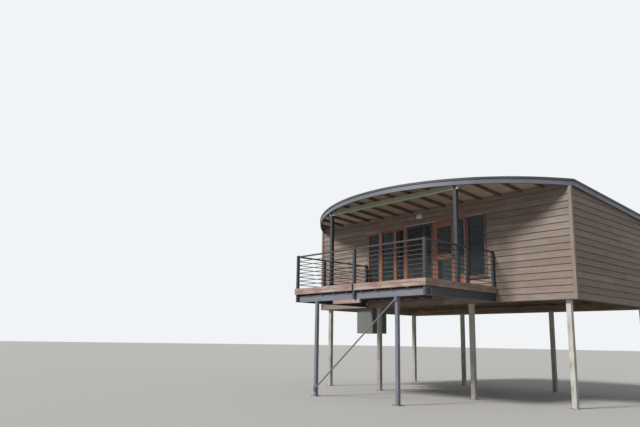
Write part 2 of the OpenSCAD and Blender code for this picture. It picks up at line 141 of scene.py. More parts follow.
class Tree:
    """Node tree of one material or world."""

    def __init__(self, nodes: bpy.types.NodeTree) -> None:
        """Wraps a node tree."""
        self.nodes = nodes

    def link(self, value: Any, socket: bpy.types.NodeSocket) -> None:
        """Links a wire to an input, or sets the input to a value.

        Args:
            value: a wire, a number or a tuple of numbers.
            socket: the input that takes it.
        """
        if isinstance(value, Wire):
            self.nodes.links.new(value.socket, socket)
        elif isinstance(value, tuple) and len(value) < len(socket.default_value):
            socket.default_value = (*value, 1.0)
        else:
            socket.default_value = value

    def node(self, kind: str, settings: Optional[dict[str, Any]] = None,
             sockets: Optional[dict[Union[int, str], Any]] = None, output: Union[int, str] = 0) -> Wire:
        """Adds a node, sets it up and links its inputs.

        Args:
            kind: type name of the node.
            settings: attributes, which are set first.
            sockets: value or wire for each input, by name or number.
            output: name or number of the output to return.

        Returns:
            The wire of the chosen output.
        """
        made = self.nodes.nodes.new(kind)
        for name, value in (settings or {}).items():
            setattr(made, name, value)
        for key, value in (sockets or {}).items():
            self.link(value, made.inputs[key])
        return Wire(self, made.outputs[output])

    def mix(self, factor: Any, first: Any, second: Any) -> Wire:
        """Returns the mix of two colours, with a share of the second one that a factor gives."""
        return self.node("ShaderNodeMix", {"data_type": "RGBA"}, {0: factor, 6: first, 7: second}, 2)

    def ramp(self, value: Wire, low: float, high: float) -> Wire:
        """Returns the range from low to high, stretched smoothly over 0 to 1 and clamped."""
        sockets = {"Value": value, "From Min": low, "From Max": high}
        return self.node("ShaderNodeMapRange", {"interpolation_type": "SMOOTHSTEP"}, sockets)

    def place(self) -> Wire:
        """Returns the Object coordinates."""
        return self.node("ShaderNodeTexCoord", output="Object")

    def scaled(self, vector: Wire, scale: Colour) -> Wire:
        """Returns a vector stretched along the three axes."""
        return self.node("ShaderNodeVectorMath", {"operation": "MULTIPLY"}, {0: vector, 1: scale})

    def noise(self, vector: Wire, scale: float, detail: float = 4.0, roughness: float = 0.55,
              distortion: float = 0.0) -> Wire:
        """Adds a noise texture.

        Args:
            vector: coordinates.
            scale: waves a metre.
            detail: octaves.
            roughness: weight of the fine octaves.
            distortion: how far the pattern is bent.

        Returns:
            The noise value, about 0.5 on average.
        """
        sockets = {"Vector": vector, "Scale": scale, "Detail": detail, "Roughness": roughness,
                   "Distortion": distortion}
        return self.node("ShaderNodeTexNoise", None, sockets)

    def bump(self, height: Wire, strength: float, distance: float) -> Wire:
        """Returns the normal that a height gives."""
        sockets = {"Strength": strength, "Distance": distance, "Height": height}
        return self.node("ShaderNodeBump", None, sockets)


@dataclass(frozen=True)
class Finish(ABC):
    """A surface finish, which makes its material once.

    Attributes:
        name: name of the material.
        slot: material slot of the record that it stands for; not used.
    """

    name: str
    slot: str

    def material(self) -> bpy.types.Material:
        """Makes the finish's material on its first use.

        Returns:
            The material.
        """
        known = bpy.data.materials.get(self.name)
        if known is not None:
            return known
        made = bpy.data.materials.new(self.name)
        made.use_nodes = True
        tree = Tree(made.node_tree)
        shader = made.node_tree.nodes["Principled BSDF"]
        for socket, value in self.dress(tree).items():
            tree.link(value, shader.inputs[socket])
        return made

    @abstractmethod
    def dress(self, tree: Tree) -> dict[str, Any]:
        """Builds the nodes of the finish.

        Args:
            tree: the material's tree.

        Returns:
            The value or wire for each socket of the shader.
        """


@dataclass(frozen=True)
class Timber(Finish):
    """Sawn or planed timber, oiled, stained or left to weather.

    Attributes:
        light: colour between the growth rings.
        dark: colour of the rings.
        worn: colour that weather brings out.
        wear: share of the surface that has weathered.
        roughness: mean roughness.
        relief: strength of the grain's bump.
        grain: direction of the grain.
        lap: height of one course of lapped boards, with a band of painted shade under each lap; 0 for plain
            timber.
        lap_start: height at which a course starts.
    """

    light: Colour
    dark: Colour
    worn: Colour
    wear: float
    roughness: float
    relief: float
    grain: Grain = Grain.ALONG_X
    lap: float = 0.0
    lap_start: float = 0.0

    def along(self, grain: Grain) -> "Timber":
        """Returns the same timber with its grain in one direction."""
        return replace(self, name=f"{self.name}_{grain.name.lower()}", grain=grain)

    def joinery(self) -> tuple["Timber", "Timber"]:
        """Returns the timber of a frame's uprights and that of its level members."""
        return self.along(Grain.ALONG_Z), self.along(Grain.ALONG_X)

    def dress(self, tree: Tree) -> dict[str, Any]:
        """Builds rings, pores, weathered patches and a shade of its own for each board.

        Args:
            tree: the material's tree.

        Returns:
            The value or wire for each socket of the shader.
        """
        tint = tree.node("ShaderNodeAttribute", {"attribute_name": "tint"}, output="Fac")
        offset = tree.node("ShaderNodeCombineXYZ", None, {0: tint * 13.0, 1: tint * 7.0, 2: tint * 19.0})
        place = tree.node("ShaderNodeVectorMath", {"operation": "ADD"}, {0: tree.place(), 1: offset})
        along = tree.scaled(place, tuple(0.055 if axis == self.grain.value else 1.0 for axis in range(3)))
        rings = tree.noise(along, 26.0, 5.0, 0.6, 0.9)
        pores = tree.noise(along, 210.0, 3.0, 0.7)
        patches = tree.noise(place, 1.9, 5.0, 0.6, 0.4)
        colour = tree.mix(tree.ramp(rings, 0.36, 0.64), self.dark, self.light)
        colour = tree.mix(tree.ramp(pores, 0.52, 0.72) * 0.45, colour, self.dark)
        onset = 0.72 - 0.35 * self.wear
        weathered = tree.ramp(patches + rings * 0.25, onset, onset + 0.3)
        colour = tree.mix(weathered * min(1.0, self.wear * 1.6), colour, self.worn)
        # Painted shade: a darker band under each lap, where the lap's shadow falls.
        if self.lap:
            colour = self.painted_lap_shade(tree, colour)
        shade = {"Color": colour, "Value": 1.0 + tint * 0.14, "Saturation": 1.0 - tint * 0.1}
        return {"Base Color": tree.node("ShaderNodeHueSaturation", None, shade),
                "Roughness": self.roughness - 0.08 + rings * 0.12 + weathered * 0.1,
                "Normal": tree.bump(rings * 0.6 + pores * 0.4, self.relief, 0.003)}

    def painted_lap_shade(self, tree: Tree, colour: Wire) -> Wire:
        """Paints shade on the boards just under each lap, as a darker band where the lap's shadow line falls.

        Args:
            tree: the material's tree.
            colour: colour of the boards before the painted shade.

        Returns:
            The colour with the painted shade under each lap.
        """
        level = tree.node("ShaderNodeSeparateXYZ", None, {0: tree.place()}, "Z")
        courses = (level - self.lap_start) * (1.0 / self.lap)
        share = tree.node("ShaderNodeMath", {"operation": "FRACT"}, {0: courses})
        # The top of each course, under the next board's foot, mixes towards a quarter of the dark colour as
        # painted shade.
        return tree.mix(tree.ramp(share, 0.78, 0.96) * 0.52, colour, tuple(c * 0.25 for c in self.dark))


@dataclass(frozen=True)
class Paint(Finish):
    """Painted steel or timber with dirt, rain streaks and a few chips.

    Attributes:
        colour: the paint.
        soil: share of the surface that dirt covers.
        chips: share of the surface that has chipped.
        roughness: mean roughness.
        metal: metallic value.
        dirt: colour of dust and grime.
        under: colour that shows where the paint has chipped.
        peel: strength of the fine bump.
    """

    colour: Colour
    soil: float
    chips: float
    roughness: float = 0.42
    metal: float = 0.0
    dirt: Colour = (0.16, 0.15, 0.12)
    under: Colour = (0.22, 0.1, 0.05)
    peel: float = 0.12

    def dress(self, tree: Tree) -> dict[str, Any]:
        """Builds cloudy paint, streaks that run down, and chips.

        Args:
            tree: the material's tree.

        Returns:
            The value or wire for each socket of the shader.
        """
        place = tree.place()
        clouds = tree.noise(place, 2.3, 5.0, 0.6)
        streaks = tree.noise(tree.scaled(place, (1.0, 1.0, 0.05)), 34.0, 4.0, 0.6)
        specks = tree.noise(place, 330.0, 2.0, 0.6)
        spots = tree.noise(place, 46.0, 4.0, 0.75)
        paler = tuple(min(1.0, c * 1.14 + 0.008) for c in self.colour)
        colour = tree.mix(tree.ramp(clouds, 0.35, 0.68), self.colour, paler)
        soiled = tree.ramp(streaks * 0.6 + clouds * 0.5, 0.62 - 0.2 * self.soil, 0.86 - 0.2 * self.soil)
        colour = tree.mix(soiled * min(0.85, self.soil), colour, self.dirt)
        chipped = tree.ramp(spots, 0.78 - 0.12 * self.chips, 0.8 - 0.12 * self.chips)
        return {"Base Color": tree.mix(chipped, colour, self.under),
                "Roughness": self.roughness + soiled * 0.2 + chipped * 0.25 + specks * 0.06,
                "Metallic": self.metal,
                "Normal": tree.bump(specks * 0.5 + clouds * 0.3 - chipped * 0.7, self.peel, 0.0012)}


@dataclass(frozen=True)
class RoofSteel(Finish):
    """Corrugated roof sheet, dull, with stains that follow its fall."""

    colour: Colour = (0.17, 0.19, 0.21)
    stain: Colour = (0.1, 0.085, 0.06)
    bloom: Colour = (0.3, 0.31, 0.25)

    def dress(self, tree: Tree) -> dict[str, Any]:
        """Builds streaks down the fall, stains and spots of pale bloom.

        Args:
            tree: the material's tree.

        Returns:
            The value or wire for each socket of the shader.
        """
        place = tree.place()
        down = tree.noise(tree.scaled(place, (1.0, 0.06, 1.0)), 16.0, 5.0, 0.65)
        stains = tree.noise(tree.scaled(place, (1.0, 0.3, 1.0)), 2.2, 6.0, 0.6)
        spots = tree.noise(place, 24.0, 4.0, 0.7)
        colour = tree.mix(tree.ramp(down, 0.4, 0.66), self.colour, tuple(c * 1.35 for c in self.colour))
        colour = tree.mix(tree.ramp(stains, 0.4, 0.8) * 0.6, colour, self.stain)
        bloomed = tree.ramp(spots + stains * 0.3, 0.79, 0.86)
        return {"Base Color": tree.mix(bloomed * 0.8, colour, self.bloom),
                "Roughness": 0.36 + stains * 0.3 + bloomed * 0.3,
                "Metallic": 0.35,
                "Normal": tree.bump(down * 0.4 + bloomed, 0.15, 0.002)}


@dataclass(frozen=True)
class WindowGlass(Finish):
    """Window glass, glossy and half see-through, with rain marks; its dark colour, which covers most of the
    pane, is painted shade for the dim room behind it.
    """

    # Dark base colour at high alpha: painted shade for the room seen through the glass.
    colour: Colour = (0.03, 0.05, 0.06)
    dust: Colour = (0.3, 0.31, 0.3)

    def dress(self, tree: Tree) -> dict[str, Any]:
        """Builds a slightly wavy sheet with dusty marks that run down.

        Args:
            tree: the material's tree.

        Returns:
            The value or wire for each socket of the shader.
        """
        place = tree.place()
        marks = tree.ramp(tree.noise(tree.scaled(place, (1.0, 1.0, 0.12)), 26.0, 4.0, 0.6), 0.56, 0.8)
        return {"Base Color": tree.mix(marks * 0.3, self.colour, self.dust),
                "Roughness": 0.03 + marks * 0.16,
                "Alpha": 0.6 + marks * 0.15,
                "IOR": 1.5,
                "Specular IOR Level": 0.26,
                "Normal": tree.bump(tree.noise(place, 2.6, 2.0), 0.05, 0.01)}


@dataclass(frozen=True)
class ScreenMesh(Finish):
    """Fine dark insect mesh, seen as a half-dense cloth of wires."""

    colour: Colour = (0.03, 0.03, 0.034)
    dust: Colour = (0.12, 0.12, 0.11)
    wires_a_metre: float = 180.0

    def dress(self, tree: Tree) -> dict[str, Any]:
        """Builds crossing wires with small gaps between them.

        Args:
            tree: the material's tree.

        Returns:
            The value or wire for each socket of the shader.
        """
        place = tree.place()
        sockets = {"Vector": place, "Scale": self.wires_a_metre}
        upright, level = (tree.node("ShaderNodeTexWave", {"bands_direction": axis}, sockets, "Fac")
                          for axis in "XZ")
        wires = upright * 0.5 + level * 0.5
        dusty = tree.ramp(tree.noise(place, 3.0, 5.0, 0.6), 0.45, 0.75)
        return {"Base Color": tree.mix(dusty * 0.35, self.colour, self.dust),
                "Roughness": 0.6 + wires * 0.2,
                "Alpha": 0.62 + wires * 0.25,
                "Normal": tree.bump(wires, 0.3, 0.0008)}


@dataclass(frozen=True)
class LampCover(Finish):
    """Frosted cover of the wall light, yellowed and dusty."""

    colour: Colour = (0.78, 0.69, 0.62)
    dust: Colour = (0.42, 0.36, 0.3)

    def dress(self, tree: Tree) -> dict[str, Any]:
        """Builds a soft plastic with faint ribs and dust.

        Args:
            tree: the material's tree.

        Returns:
            The value or wire for each socket of the shader.
        """
        place = tree.place()
        dusty = tree.ramp(tree.noise(place, 22.0, 5.0, 0.6), 0.45, 0.75)
        ribs = tree.noise(tree.scaled(place, (1.0, 1.0, 0.2)), 60.0, 3.0)
        return {"Base Color": tree.mix(dusty * 0.4, self.colour, self.dust),
                "Roughness": 0.4 + dusty * 0.25,
                "Normal": tree.bump(ribs * 0.5 + dusty * 0.5, 0.1, 0.001)}


@dataclass(frozen=True)
class PaleFloor(Finish):
    """Plain pale floor of the studio, which isn't part of the house."""

    colour: Colour = (0.55, 0.55, 0.54)

    def dress(self, tree: Tree) -> dict[str, Any]:
        """Returns one pale, dull colour."""
        return {"Base Color": self.colour, "Roughness": 0.9}


CEDAR = Timber("cedar", "cedar", (0.37, 0.145, 0.075), (0.19, 0.068, 0.036), (0.28, 0.17, 0.12),
               wear=0.25, roughness=0.46, relief=0.3)
BROWN_JOINERY = Timber("brown_joinery", "brown_timber", (0.13, 0.075, 0.07), (0.06, 0.036, 0.036),
                       (0.22, 0.17, 0.16), wear=0.35, roughness=0.5, relief=0.3)
WEATHERBOARD = Timber("weatherboard", "weatherboard", (0.292, 0.227, 0.188), (0.225, 0.171, 0.142),
                      (0.3, 0.277, 0.248), wear=0.45, roughness=0.74, relief=0.45)
DECKING = Timber("decking_along_x", "decking", (0.37, 0.262, 0.222), (0.24, 0.16, 0.13),
                 (0.4, 0.345, 0.32), wear=0.5, roughness=0.66, relief=0.45)
EDGE_TIMBER = Timber("edge_board_timber", "decking", (0.4, 0.275, 0.225), (0.25, 0.14, 0.115),
                     (0.42, 0.365, 0.34), wear=0.6, roughness=0.66, relief=0.45)
FRAMING = Timber("framing", "framing_timber", (0.27, 0.185, 0.11), (0.14, 0.09, 0.055),
                 (0.24, 0.21, 0.18), wear=0.5, roughness=0.7, relief=0.5)
RAFTER_TIMBER = Timber("rafter_timber", "framing_timber", (0.19, 0.13, 0.08), (0.1, 0.064, 0.04),
                       (0.17, 0.15, 0.13), wear=0.5, roughness=0.7, relief=0.5, grain=Grain.ALONG_Y)
# Darker than the framing as painted shade: the joists' ends show in the shadow gap under the edge boards.
SHADE_PAINTED_JOIST_WOOD = Timber("joist_timber", "framing_timber", (0.12, 0.085, 0.062), (0.07, 0.05, 0.038),
                      (0.13, 0.115, 0.1), wear=0.4, roughness=0.75, relief=0.5, grain=Grain.ALONG_Y)
# Pale partly as the stilts' own pale colour and partly as painted light, raised for stilts that stand in the
# deck's shade.
PALE_STILT_WOOD_WITH_PAINTED_LIGHT = Timber("stilt_timber", "framing_timber", (0.47, 0.46, 0.4), (0.3, 0.285, 0.24),
                      (0.54, 0.54, 0.49), wear=0.7, roughness=0.74, relief=0.6, grain=Grain.ALONG_Z)
LINING_TIMBER = Timber("lining_boards", "framing_timber", (0.55, 0.45, 0.365), (0.39, 0.3, 0.235),
                       (0.47, 0.41, 0.35), wear=0.3, roughness=0.6, relief=0.25)

PALE_STEEL = Paint("pale_steel_paint", "pale_steel", (0.178, 0.192, 0.235), soil=0.3, chips=0.08,
                   roughness=0.4)
FASCIA_STEEL = Paint("fascia_paint", "pale_steel", (0.134, 0.149, 0.188), soil=0.35, chips=0.06)
DARK_STEEL = Paint("dark_steel_paint", "dark_steel", (0.036, 0.05, 0.062), soil=0.3, chips=0.12,
                   roughness=0.36, dirt=(0.08, 0.08, 0.07))
ROD_STEEL = Paint("rod_steel", "pale_steel", (0.085, 0.084, 0.08), soil=0.3, chips=0.1, roughness=0.35,
                  metal=0.5)
BOLTS = Paint("galvanised_bolts", "pale_steel", (0.36, 0.37, 0.37), soil=0.45, chips=0.3, roughness=0.45,
              metal=0.7)
SHOE_PLATES = Paint("galvanised_plates", "pale_steel", (0.3, 0.31, 0.31), soil=0.5, chips=0.35, roughness=0.5,
                    metal=0.6)
SCREWS = Paint("screw_heads", "dark_steel", (0.14, 0.13, 0.12), soil=0.4, chips=0.3, roughness=0.4, metal=0.8)
EDGE_TRIM = Paint("roof_edge_trim_paint", "roof_metal", (0.045, 0.05, 0.05), soil=0.4, chips=0.1,
                  roughness=0.5)
FLASHING = Paint("flashing_paint", "pale_paint", (0.6, 0.56, 0.52), soil=0.5, chips=0.1, roughness=0.5)
SCREEN_FRAME = Paint("screen_frame_paint", "dark_steel", (0.035, 0.037, 0.042), soil=0.25, chips=0.05)
# Darkened well below the cabinet's own paint as painted shade, for the shade under the deck.
CABINET_COLOUR_PAINTED_SHADE = Paint("cabinet_paint", "pale_steel", (0.13, 0.142, 0.132), soil=0.5, chips=0.1, roughness=0.6)
BEAM_PAINT = Paint("beam_paint", "green_timber", (0.3, 0.345, 0.26), soil=0.4, chips=0.12, roughness=0.55,
                   under=(0.3, 0.22, 0.14), peel=0.2)
STRIP_PAINT = Paint("beam_strip_paint", "green_timber", (0.56, 0.56, 0.46), soil=0.35, chips=0.1,
                    roughness=0.55)
ROOF_STEEL = RoofSteel("roof_sheet_steel", "roof_metal")
GLASS = WindowGlass("window_pane_glass", "glass")
MESH = ScreenMesh("insect_mesh", "dark_steel")
COVER = LampCover("lamp_cover_plastic", "lamp_cover")
FLOOR = PaleFloor("studio_floor", "")


def faces_round(verts: Iterable[Vert]) -> set[bmesh.types.BMFace]:
    """Returns the faces that some vertices belong to."""
    return {face for vert in verts for face in vert.link_faces}


def add_object(name: str, data: Any) -> bpy.types.Object:
    """Puts a mesh, a camera or a light into the scene.

    Args:
        name: name of the object.
        data: what the object shows.

    Returns:
        The new object.
    """
    made = bpy.data.objects.new(name, data)
    bpy.context.scene.collection.objects.link(made)
    return made


class Bench:
    """A mesh under work, and the operations that the pieces share."""

    def __init__(self, seed: int = 1) -> None:
        """Starts an empty mesh.

        Args:
            seed: start of the random tints.
        """
        self.bm = bmesh.new()
        self.layer = self.bm.faces.layers.float.new("tint")
        self.dice = random.Random(seed)

    def mark(self, verts: Iterable[Vert], slot: int = 0, tint: Optional[float] = None) -> None:
        """Gives the faces round some vertices one material slot and one tint.

        Args:
            verts: vertices of a whole solid.
            slot: number of the material slot.
            tint: tint from -1 to 1, drawn at random where none is given.
        """
        shade = self.dice.uniform(-1.0, 1.0) if tint is None else tint
        for face in faces_round(verts):
            face.material_index = slot
            face[self.layer] = shade

    def block(self, low: Point, high: Point, ease: float = 0.002, slot: int = 0,
              tint: Optional[float] = None) -> Verts:
        """Adds a box with eased edges.

        Args:
            low: lowest corner.
            high: highest corner.
            ease: width of the chamfer along its edges.
            slot: material slot of its faces.
            tint: tint of its faces.

        Returns:
            The box's vertices.
        """
        low, high = Vector(low), Vector(high)
        matrix = Matrix.Translation((low + high) / 2) @ Matrix.Diagonal((*(high - low), 1.0))
        verts = bmesh.ops.create_cube(self.bm, size=1.0, matrix=matrix)["verts"]
        if ease > 0:
            verts = self.bevel({edge for vert in verts for edge in vert.link_edges}, ease)
        self.mark(verts, slot, tint)
        return verts

    def bevel(self, edges: Iterable[bmesh.types.BMEdge], width: float) -> Verts:
        """Chamfers edges and returns the vertices that this made."""
        return bmesh.ops.bevel(self.bm, geom=list(edges), offset=width, offset_type="OFFSET", segments=1,
                               profile=0.5, affect="EDGES", material=-1, clamp_overlap=True)["verts"]

    def rod(self, start: Point, end: Point, radius: float, sides: int = 16, ease: float = 0.0) -> None:
        """Adds a round bar between two points.

        Args:
            start: centre of its first end.
            end: centre of its other end.
            radius: its radius.
            sides: number of flat sides.
            ease: width of the chamfer round both ends.
        """
        start, end = Vector(start), Vector(end)
        axis = end - start
        matrix = Matrix.Translation((start + end) / 2) @ axis.to_track_quat("Z", "Y").to_matrix().to_4x4()
        verts = bmesh.ops.create_cone(self.bm, cap_ends=True, cap_tris=False, segments=sides, radius1=radius,
                                      radius2=radius, depth=axis.length, matrix=matrix)["verts"]
        if ease > 0:
            rims = {edge for vert in verts for edge in vert.link_edges
                    if any(len(face.verts) > 4 for face in edge.link_faces)}
            eased = self.bevel(rims, ease)
            verts = [vert for vert in verts if vert.is_valid] + eased
        for face in faces_round(verts):
            face.smooth = sides > 8 and len(face.verts) == 4
        self.mark(verts, 0, 0.0)

    def bolt(self, place: Point, out: Point, size: float = 0.014) -> None:
        """Adds a washer, a hexagon head and a bolt end that stand out of a face.

        Args:
            place: point on the face.
            out: direction in which the bolt stands out.
            size: thread diameter.
        """
        place, out = Vector(place), Vector(out).normalized()
        washer, head, end = (place + out * size * share for share in (0.2, 0.85, 1.25))
        self.rod(place, washer, size * 1.1)
        self.rod(washer, head, size * 0.9, 6, size * 0.08)
        self.rod(head, end, size * 0.5, 12, size * 0.1)

    def node_copy(self, mesh: bpy.types.Mesh, ease: float = 0.0) -> None:
        """Adds a merged copy of a solid's mesh, with its flat faces whole again and its sharp edges eased.

        Args:
            mesh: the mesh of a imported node.
            ease: width of the chamfer, 0 for none.
        """
        plain = mesh.copy()
        for name in {"custom_normal", "UVMap"} & {item.name for item in plain.attributes}:
            plain.attributes.remove(plain.attributes[name])
        self.bm.from_mesh(plain)
        bpy.data.meshes.remove(plain)
        self.layer = self.bm.faces.layers.float.get("tint") or self.bm.faces.layers.float.new("tint")
        bmesh.ops.remove_doubles(self.bm, verts=self.bm.verts, dist=0.00002)
        bmesh.ops.dissolve_limit(self.bm, angle_limit=math.radians(0.3), use_dissolve_boundaries=False,
                                 verts=self.bm.verts, edges=self.bm.edges, delimit=set())
        if ease > 0:
            sharp = math.radians(40.0)
            self.bevel([edge for edge in self.bm.edges
                        if len(edge.link_faces) == 2 and edge.calc_face_angle() > sharp], ease)

    def mesh(self, name: str, finishes: Sequence[Finish] = ()) -> bpy.types.Mesh:
        """Ends the work and turns it into a mesh.

        Args:
            name: name of the mesh.
            finishes: its finishes, in the order of their slots.

        Returns:
            The new mesh.
        """
        made = bpy.data.meshes.new(name)
        self.bm.to_mesh(made)
        self.bm.free()
        for finish in finishes:
            made.materials.append(finish.material())
        return made

    def join(self, other: "Bench") -> None:
        """Takes over another bench's mesh, which ends with this.

        Args:
            other: the bench that is emptied.
        """
        mesh = other.mesh("part")
        self.bm.from_mesh(mesh)
        bpy.data.meshes.remove(mesh)

    def islands(self) -> list[Verts]:
        """Splits the mesh into its separate solids.

        Returns:
            The vertices of each solid.
        """
        found: list[Verts] = []
        seen: set[Vert] = set()
        for start in self.bm.verts:
            if start in seen:
                continue
            stack, island = [start], []
            seen.add(start)
            while stack:
                vert = stack.pop()
                island.append(vert)
                fresh = {edge.other_vert(vert) for edge in vert.link_edges} - seen
                seen |= fresh
                stack += fresh
            found.append(island)
        return found

    def tint_solids(self) -> None:
        """Gives every separate solid a random tint of its own."""
        for island in self.islands():
            self.mark(island)

    def move(self, matrix: Matrix) -> None:
        """Moves the whole mesh by a matrix."""
        bmesh.ops.transform(self.bm, matrix=matrix, verts=self.bm.verts)

    def cut(self, point: Point, normal: Point) -> None:
        """Cuts away what lies beyond a plane and closes the cut.

        Args:
            point: a point on the plane.
            normal: direction of the side that goes.
        """
        geometry = [*self.bm.verts, *self.bm.edges, *self.bm.faces]
        made = bmesh.ops.bisect_plane(self.bm, geom=geometry, dist=0.00001, plane_co=Vector(point),
                                      plane_no=Vector(normal), clear_outer=True)
        rim = [item for item in made["geom_cut"] if isinstance(item, bmesh.types.BMEdge)]
        bmesh.ops.holes_fill(self.bm, edges=rim, sides=0)

    def deliver(self, name: str, finishes: Sequence[Finish], body: str = "house",
                replaces: Sequence[str] = ()) -> bpy.types.Object:
        """Turns the mesh into a finished piece of the house.

        Args:
            name: name of the piece.
            finishes: its finishes, in the order of their slots.
            body: body that it moves with.
            replaces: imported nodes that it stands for.

        Returns:
            The new object.
        """
        bmesh.ops.recalc_face_normals(self.bm, faces=self.bm.faces)
        piece = add_object(name, self.mesh(name, finishes))
        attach(piece, body)
        if replaces:
            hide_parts(*replaces)
        LOG.info("%s: %d faces", name, len(piece.data.polygons))
        return piece


@dataclass(frozen=True)
class Frame:
    """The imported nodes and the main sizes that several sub-assemblies share.

    Attributes:
        nodes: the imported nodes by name.
        roof_fall: fall of the roof to the back.
        rafter_h: depth of the rafters.
        lining_t: thickness of the roof's lining.
        eave_h: height of the rafters' underside above the deck, at the bow's front.
        bow_setback: distance of the bow's front behind the deck's front edge.
        bow_depth: depth of the bow, from its front to where it meets the roof's sides.
        post_side: side of a balustrade post.
        back_window_w: width of one back window.
        butt: gap where two boards of a row meet.
    """

    nodes: dict[str, bpy.types.Object]
    roof_fall: float = math.radians(3.5)
    rafter_h: float = 0.085
    lining_t: float = 0.010
    eave_h: float = 2.670
    bow_setback: float = 0.830
    bow_depth: float = 2.380
    post_side: float = 0.075
    back_window_w: float = 1.500
    butt: float = 0.0015

    @property
    def floor_z(self) -> float:
        """Height of the deck's surface."""
        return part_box("deck_boards")[1].z

    @property
    def bow_y(self) -> float:
        """Front of the bow."""
        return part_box("deck_edge_boards")[0].y + self.bow_setback

    @property
    def roof_half(self) -> float:
        """Half the width of the roof over its fascias."""
        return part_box("side_and_back_fascias")[1].x

    @property
    def bow_radius(self) -> float:
        """Radius of the bow at the fascia's outer face."""
        return (self.roof_half ** 2 + self.bow_depth ** 2) / (2 * self.bow_depth)

    @property
    def bow_centre(self) -> float:
        """Place of the bow's centre along Y."""
        return self.bow_y + self.bow_radius

    def roof(self) -> Matrix:
        """Works out the tilt of the roof.

        Returns:
            The matrix that moves what is drawn flat into the roof's place.
        """
        eave = Vector((0.0, self.bow_y, self.floor_z + self.eave_h))
        tilt = Matrix.Rotation(-self.roof_fall, 4, "X")
        return Matrix.Translation(eave) @ tilt @ Matrix.Translation((0.0, -self.bow_y, 0.0))

    def bow_front(self, x: float, grow: float) -> float:
        """Returns where the roof's flat front lies along Y, grown by a distance outside the fascia."""
        radius = self.bow_radius + grow
        return self.bow_centre - math.sqrt(max(0.0, radius * radius - x * x))

    def front_posts(self) -> list[tuple[Span, Span]]:
        """Finds the balustrade's three front posts.

        Returns:
            The ends of each post along X and along Y.
        """
        low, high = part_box("balustrade_posts")
        half = self.post_side / 2
        centres = (low.x + half, 0.0, high.x - half)
        return [((x - half, x + half), (low.y, low.y + self.post_side)) for x in centres]

    def finish_node(self, node: str, finish: Finish) -> None:
        """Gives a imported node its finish."""
        self.nodes[node].data.materials.clear()
        self.nodes[node].data.materials.append(finish.material())

    def ease_node(self, node: str, finish: Finish, width: float, seed: int = 3) -> None:
        """Replaces a node by a copy of itself with eased edges and a tint for each solid.

        Args:
            node: name of the node.
            finish: its finish.
            width: width of the chamfer.
            seed: start of the random tints.
        """
        bench = Bench(seed)
        bench.node_copy(self.nodes[node].data, width)
        bench.tint_solids()
        bench.deliver(f"eased_{node}", [finish], replaces=[node])


@dataclass(frozen=True)
class Assembly(ABC):
    """A sub-assembly of the house.

    Attributes:
        frame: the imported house.
    """

    frame: Frame

    @abstractmethod
    def build(self) -> None:
        """Builds the pieces of the sub-assembly."""


